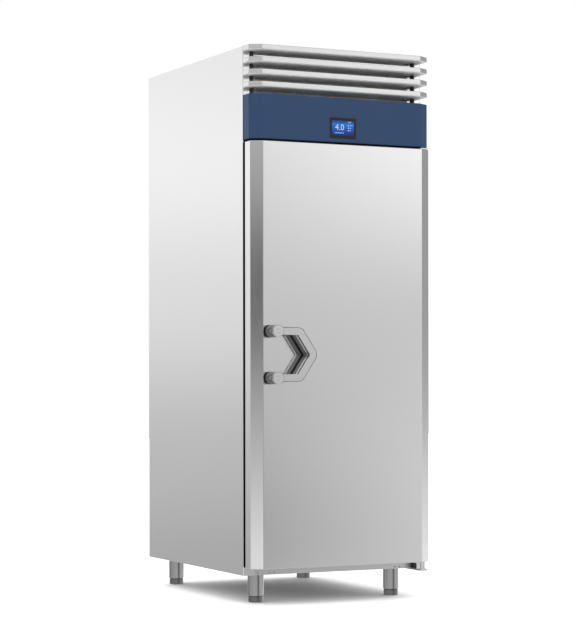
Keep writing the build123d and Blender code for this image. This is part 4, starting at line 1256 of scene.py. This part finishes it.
def make_world(stage):
    """White to the camera; to the steel a studio of soft sides, each with its own fall-off to the floor."""
    world = bpy.data.worlds.new("studio")
    bpy.context.scene.world = world
    world.use_nodes = True
    tree = world.node_tree
    tree.nodes.clear()
    direction = add_node(tree, "ShaderNodeTexCoord").outputs["Generated"]
    parts = add_node(tree, "ShaderNodeSeparateXYZ", {0: direction})
    elevation = add_node(tree, "ShaderNodeMath", {
        0: parts.outputs["Z"], 1: DEGREES,
    }, operation="MULTIPLY").outputs[0]
    front = add_node(tree, "ShaderNodeMath", {
        0: parts.outputs["Y"], 1: -1.0,
    }, operation="MULTIPLY").outputs[0]
    turn = add_node(tree, "ShaderNodeMath", {0: parts.outputs["X"], 1: front}, operation="ARCTAN2").outputs[0]
    azimuth = add_node(tree, "ShaderNodeMath", {0: turn, 1: DEGREES}, operation="MULTIPLY").outputs[0]
    leftward = add_node(tree, "ShaderNodeMath", {0: azimuth, 1: -1.0}, operation="MULTIPLY").outputs[0]
    rightward = add_node(tree, "ShaderNodeMath", {0: azimuth, 1: REAR_DELAY}, operation="SUBTRACT").outputs[0]
    aside = add_node(tree, "ShaderNodeMath", {0: leftward, 1: rightward}, operation="MAXIMUM").outputs[0]
    side = {name: elevation_ramp(tree, elevation, stops) for name, stops in STUDIO_SIDES.items()}

    def blend(start, end, towards, first, second, smooth="SMOOTHSTEP"):
        """One side that fades into the next between two azimuths."""
        share = add_node(tree, "ShaderNodeMapRange", {"Value": towards, "From Min": start, "From Max": end},
                         interpolation_type=smooth)
        values = {0: share.outputs[0], 2: first, 3: second}
        return add_node(tree, "ShaderNodeMix", values, data_type="FLOAT").outputs[0]

    # Azimuths are in degrees from straight in front of the door, to the viewer's right.
    front_wall = blend(20, 34, azimuth, side["near_front"], side["far_front"], "LINEAR")
    camera_wall = blend(-78, -50, azimuth, side["far_left"], side["camera_side"])
    left_wall = blend(-14, 18, azimuth, camera_wall, front_wall)
    right_wall = blend(34, 52, azimuth, left_wall, side["right_side"])
    studio_light = blend(105, 135, aside, right_wall, side["rear_side"])
    level = add_node(tree, "ShaderNodeMath", {
        0: studio_light, 1: stage.world_level,
    }, operation="MULTIPLY").outputs[0]
    studio = add_node(tree, "ShaderNodeBackground", {"Color": (1, 1, 1, 1), "Strength": level})
    backdrop = add_node(tree, "ShaderNodeBackground", {"Color": (1, 1, 1, 1), "Strength": 1.0})
    seen = add_node(tree, "ShaderNodeLightPath").outputs["Is Camera Ray"]
    both = add_node(tree, "ShaderNodeMixShader", {0: seen, 1: studio.outputs[0], 2: backdrop.outputs[0]})
    add_node(tree, "ShaderNodeOutputWorld", {0: both.outputs[0]})


def make_overhead_light(stage):
    """A broad light far overhead, which whitens the floor and leaves a soft shadow under the cabinet."""
    lamp = bpy.data.lights.new("overhead_light", "SUN")
    lamp.energy = stage.overhead_strength
    lamp.angle = stage.overhead_spread
    new_object("overhead_light", lamp).visible_glossy = False


# The photograph's frame and lens in pixels, and the row on which its horizon lies
FRAME_HEIGHT, FOCAL_LENGTH, HORIZON = 640, 2054.1, 377.07
SENSOR = 36.0  # millimetres along the frame's longer side


def make_camera():
    """The photograph's viewpoint: about 26 degrees to the left of straight on, level, with a small
    upward shift."""
    lens = bpy.data.cameras.new("camera")
    lens.sensor_width = SENSOR
    lens.lens = SENSOR * FOCAL_LENGTH / FRAME_HEIGHT
    lens.shift_y = (HORIZON - FRAME_HEIGHT / 2) / FRAME_HEIGHT
    lens.clip_end = 100.0
    camera = new_object("camera", lens)
    camera.location = (-3.7393, -7.6244, 0.8845)
    camera.rotation_euler = (math.radians(90), 0.0012, math.radians(-26.085))
    bpy.context.scene.camera = camera


# Sizes and colours that a user would change

class RefrigeratorSteel(bpy.types.PropertyGroup):
    """Sheet metal of the cabinet, the louvres and the door"""

    panel_colour_hex: bpy.props.StringProperty(
        name="Panel colour", description="sRGB hex colour of the brushed stainless panels", default="#CDCDCD")
    sheet_bend: bpy.props.FloatProperty(
        name="Sheet bend", description="Outer radius of the folds in the sheet metal",
        default=2.5 * MM, unit="LENGTH")
    louvre_bend: bpy.props.FloatProperty(
        name="Louvre bend", description="Outer radius of the folds of a louvre blade",
        default=1.5 * MM, unit="LENGTH")
    louvre_chamfer_width: bpy.props.FloatProperty(
        name="Louvre chamfer width", description="Width of the slanted corner of a blade", default=44.5 * MM,
        unit="LENGTH")
    louvre_chamfer_depth: bpy.props.FloatProperty(
        name="Louvre chamfer depth", description="Depth of the slanted corner of a blade", default=27 * MM,
        unit="LENGTH")
    louvre_tongue: bpy.props.FloatProperty(
        name="Louvre tongue", description="Half width of the part of a blade between the jambs",
        default=344 * MM,
        unit="LENGTH")
    louvre_gusset: bpy.props.FloatProperty(
        name="Louvre gusset", description="Height of the small gusset that holds each end of a blade",
        default=10.6 * MM, unit="LENGTH")
    frame_reach: bpy.props.FloatProperty(
        name="Frame reach", description="How far the black frame's lip reaches past its fold",
        default=2.8 * MM,
        unit="LENGTH")
    # Width of the navy strips that paint the shade in the joints behind the fascia's returns
    fascia_hem: bpy.props.FloatProperty(
        name="Fascia hem", description="Width of the dark rear edge of the fascia's two returns",
        default=7 * MM,
        unit="LENGTH")
    plate_round: bpy.props.FloatProperty(
        name="Plate rounding", description="Rounding of the edges of hinge plates and leg tubes",
        default=0.8 * MM,
        unit="LENGTH")
    deburr: bpy.props.FloatProperty(
        name="Deburr", description="Rounding of a cut sheet edge", default=0.3 * MM, unit="LENGTH")


class RefrigeratorFascia(bpy.types.PropertyGroup):
    """Colours of the fascia and of the louvres' undersides"""

    colour_hex: bpy.props.StringProperty(
        name="Fascia colour", description="sRGB hex colour of the powder coat", default="#172C47")
    deadening_hex: bpy.props.StringProperty(
        name="Louvre underside colour", description="sRGB hex colour of the coat under the blades",
        default="#CCCCCC")


class RefrigeratorDisplay(bpy.types.PropertyGroup):
    """What the display shows"""

    reading: bpy.props.StringProperty(
        name="Reading", description="Number that the display shows", default="4.0")
    clock: bpy.props.StringProperty(
        name="Clock", description="Small number at the top of the display", default="12:00")


class RefrigeratorScrews(bpy.types.PropertyGroup):
    """Pan-head screws"""

    head_diameter: bpy.props.FloatProperty(
        name="Head diameter", description="Diameter of a screw head", default=6 * MM, unit="LENGTH")
    head_height: bpy.props.FloatProperty(
        name="Head height", description="Height of a screw head", default=1.6 * MM, unit="LENGTH")


class RefrigeratorGuard(bpy.types.PropertyGroup):
    """Wire guard of the evaporator fan"""

    rings: bpy.props.IntProperty(name="Rings", description="Wire rings of the fan guard", default=9)
    first_radius: bpy.props.FloatProperty(
        name="First radius", description="Radius of the smallest ring", default=20 * MM, unit="LENGTH")
    pitch: bpy.props.FloatProperty(
        name="Ring pitch", description="Distance from ring to ring", default=12.5 * MM, unit="LENGTH")
    wire: bpy.props.FloatProperty(name="Wire", description="Wire diameter", default=2.6 * MM, unit="LENGTH")
    spokes: bpy.props.IntProperty(name="Spokes", description="Wires across the rings", default=6)
    fan_setback: bpy.props.FloatProperty(
        name="Fan setback", description="Fan centre behind the front of the evaporator cover",
        default=150 * MM,
        unit="LENGTH")


class RefrigeratorGrille(bpy.types.PropertyGroup):
    """Slots and hoods of the rear grille"""

    columns: bpy.props.IntProperty(name="Columns", description="Slots across the rear grille", default=5)
    rows: bpy.props.IntProperty(name="Rows", description="Rows of slots", default=9)
    slot_length: bpy.props.FloatProperty(
        name="Slot length", description="Length of a slot", default=110 * MM, unit="LENGTH")
    row_pitch: bpy.props.FloatProperty(
        name="Row pitch", description="Distance from row to row", default=28 * MM, unit="LENGTH")
    hood_reach: bpy.props.FloatProperty(
        name="Hood reach", description="How far a hood stands out", default=5 * MM, unit="LENGTH")
    hood_rise: bpy.props.FloatProperty(
        name="Hood rise", description="Height of a hood above the slot's middle",
        default=6 * MM, unit="LENGTH")


class RefrigeratorLeg(bpy.types.PropertyGroup):
    """Screw feet in their leg tubes"""

    foot_show: bpy.props.FloatProperty(
        name="Foot shown", description="Length of the foot below the leg tube",
        default=27 * MM, unit="LENGTH")
    foot_inside: bpy.props.FloatProperty(
        name="Foot inside", description="Length of the foot inside the leg tube",
        default=37 * MM, unit="LENGTH")
    foot_neck_radius: bpy.props.FloatProperty(
        name="Foot neck radius", description="Radius of the groove above the foot",
        default=27.2 * MM, unit="LENGTH")
    stem_radius: bpy.props.FloatProperty(
        name="Stem radius", description="Radius of the screw stem", default=10 * MM, unit="LENGTH")


class RefrigeratorHandle(bpy.types.PropertyGroup):
    """Layers and caps of the handle"""

    edge_radius: bpy.props.FloatProperty(
        name="Edge radius", description="Rounding of the core's and band's edges",
        default=1.2 * MM, unit="LENGTH")
    plate_radius: bpy.props.FloatProperty(
        name="Plate radius", description="Rounding of the front plate's edges",
        default=1.2 * MM, unit="LENGTH")
    # The black frame at the handle's foot paints the contact shade between the handle and the door
    shade_seat_height: bpy.props.FloatProperty(
        name="Seat height", description="Height of the black seat between the handle and the door",
        default=11 * MM,
        unit="LENGTH")
    # The dark line placed by these two paints the shade along the plate's outer edge
    outline_inset: bpy.props.FloatProperty(
        name="Outline inset", description="Land between the plate's edge and its dark bead", default=1.3 * MM,
        unit="LENGTH")
    outline_width: bpy.props.FloatProperty(
        name="Outline width", description="Width of the dark bead", default=1.6 * MM, unit="LENGTH")
    cap_radius: bpy.props.FloatProperty(
        name="Cap radius", description="Radius of the caps on the bosses", default=24 * MM, unit="LENGTH")
    cap_groove: bpy.props.FloatProperty(
        name="Cap groove", description="Radius of the turned groove in a cap",
        default=8.6 * MM, unit="LENGTH")
    lug_radius: bpy.props.FloatProperty(
        name="Lug radius", description="Radius of the small lug beside a cap",
        default=6.5 * MM, unit="LENGTH")
    lug_hole_radius: bpy.props.FloatProperty(
        name="Lug hole radius", description="Radius of the hole in a lug", default=2.5 * MM, unit="LENGTH")


class RefrigeratorStage(bpy.types.PropertyGroup):
    """Floor, studio and light"""

    floor_size: bpy.props.FloatProperty(
        name="Floor size", description="Width of the floor", default=40.0, unit="LENGTH")
    floor_hex: bpy.props.StringProperty(
        name="Floor colour", description="sRGB hex colour of the floor", default="#C4C4C4")
    world_level: bpy.props.FloatProperty(
        name="Studio level", description="Brightness of the studio that the steel reflects", default=1.0)
    chamber_lamp: bpy.props.FloatProperty(
        name="Chamber lamp", description="Glow of the lamp cover in the chamber", default=60.0)
    # Strength of the painted light on the front face of the filter fleece
    fleece_painted_glow: bpy.props.FloatProperty(
        name="Filter glow", description="Daylight through the fleece of the air filter", default=0.75)
    overhead_strength: bpy.props.FloatProperty(
        name="Overhead light", description="Strength of the broad light above the object", default=8.8)
    overhead_spread: bpy.props.FloatProperty(
        name="Overhead spread", description="Angle that the broad light spreads over",
        default=math.radians(150),
        subtype="ANGLE", unit="ROTATION")


class RefrigeratorSettings(bpy.types.PropertyGroup):
    """All settings of the refrigerator"""

    steel: bpy.props.PointerProperty(type=RefrigeratorSteel)
    fascia: bpy.props.PointerProperty(type=RefrigeratorFascia)
    display: bpy.props.PointerProperty(type=RefrigeratorDisplay)
    screws: bpy.props.PointerProperty(type=RefrigeratorScrews)
    guard: bpy.props.PointerProperty(type=RefrigeratorGuard)
    grille: bpy.props.PointerProperty(type=RefrigeratorGrille)
    handle: bpy.props.PointerProperty(type=RefrigeratorHandle)
    leg: bpy.props.PointerProperty(type=RefrigeratorLeg)
    stage: bpy.props.PointerProperty(type=RefrigeratorStage)


OPERATORS = (
    REFRIGERATOR_OT_cabinet,
    REFRIGERATOR_OT_rear_grille,
    REFRIGERATOR_OT_screws,
    REFRIGERATOR_OT_chamber,
    REFRIGERATOR_OT_fan_guard,
    REFRIGERATOR_OT_machine_compartment,
    REFRIGERATOR_OT_louvres,
    REFRIGERATOR_OT_fascia,
    REFRIGERATOR_OT_display,
    REFRIGERATOR_OT_door,
    REFRIGERATOR_OT_handle,
    REFRIGERATOR_OT_hinges,
    REFRIGERATOR_OT_legs,
    REFRIGERATOR_OT_stage,
)


class REFRIGERATOR_PT_panel(bpy.types.Panel):
    """Lists the pieces and their settings"""

    bl_label = "Refrigerator"
    bl_idname = "REFRIGERATOR_PT_panel"
    bl_space_type = "VIEW_3D"
    bl_region_type = "UI"
    bl_category = "Refrigerator"

    def draw(self, context):
        chosen = context.scene.refrigerator
        for group in (chosen.steel, chosen.fascia, chosen.display, chosen.screws, chosen.guard, chosen.grille,
                      chosen.handle, chosen.leg, chosen.stage):
            box = self.layout.box()
            for key in group.__annotations__:
                box.prop(group, key)
        for operator in OPERATORS:
            self.layout.operator(operator.bl_idname)


CLASSES = (
    RefrigeratorSteel, RefrigeratorFascia, RefrigeratorDisplay, RefrigeratorScrews, RefrigeratorGuard,
    RefrigeratorGrille, RefrigeratorHandle, RefrigeratorLeg, RefrigeratorStage, RefrigeratorSettings,
    *OPERATORS, REFRIGERATOR_PT_panel,
)


def register():
    """Register the classes, and hang the settings on the scene."""
    for made in CLASSES:
        bpy.utils.register_class(made)
    bpy.types.Scene.refrigerator = bpy.props.PointerProperty(type=RefrigeratorSettings)


def unregister():
    """Undo what register does."""
    del bpy.types.Scene.refrigerator
    for made in reversed(CLASSES):
        bpy.utils.unregister_class(made)


def main():
    """Build everything in order."""
    register()
    for operator in OPERATORS:
        group, name = operator.bl_idname.split(".")
        getattr(getattr(bpy.ops, group), name)()
    bpy.context.view_layer.update()


if __name__ == "__main__":
    main()
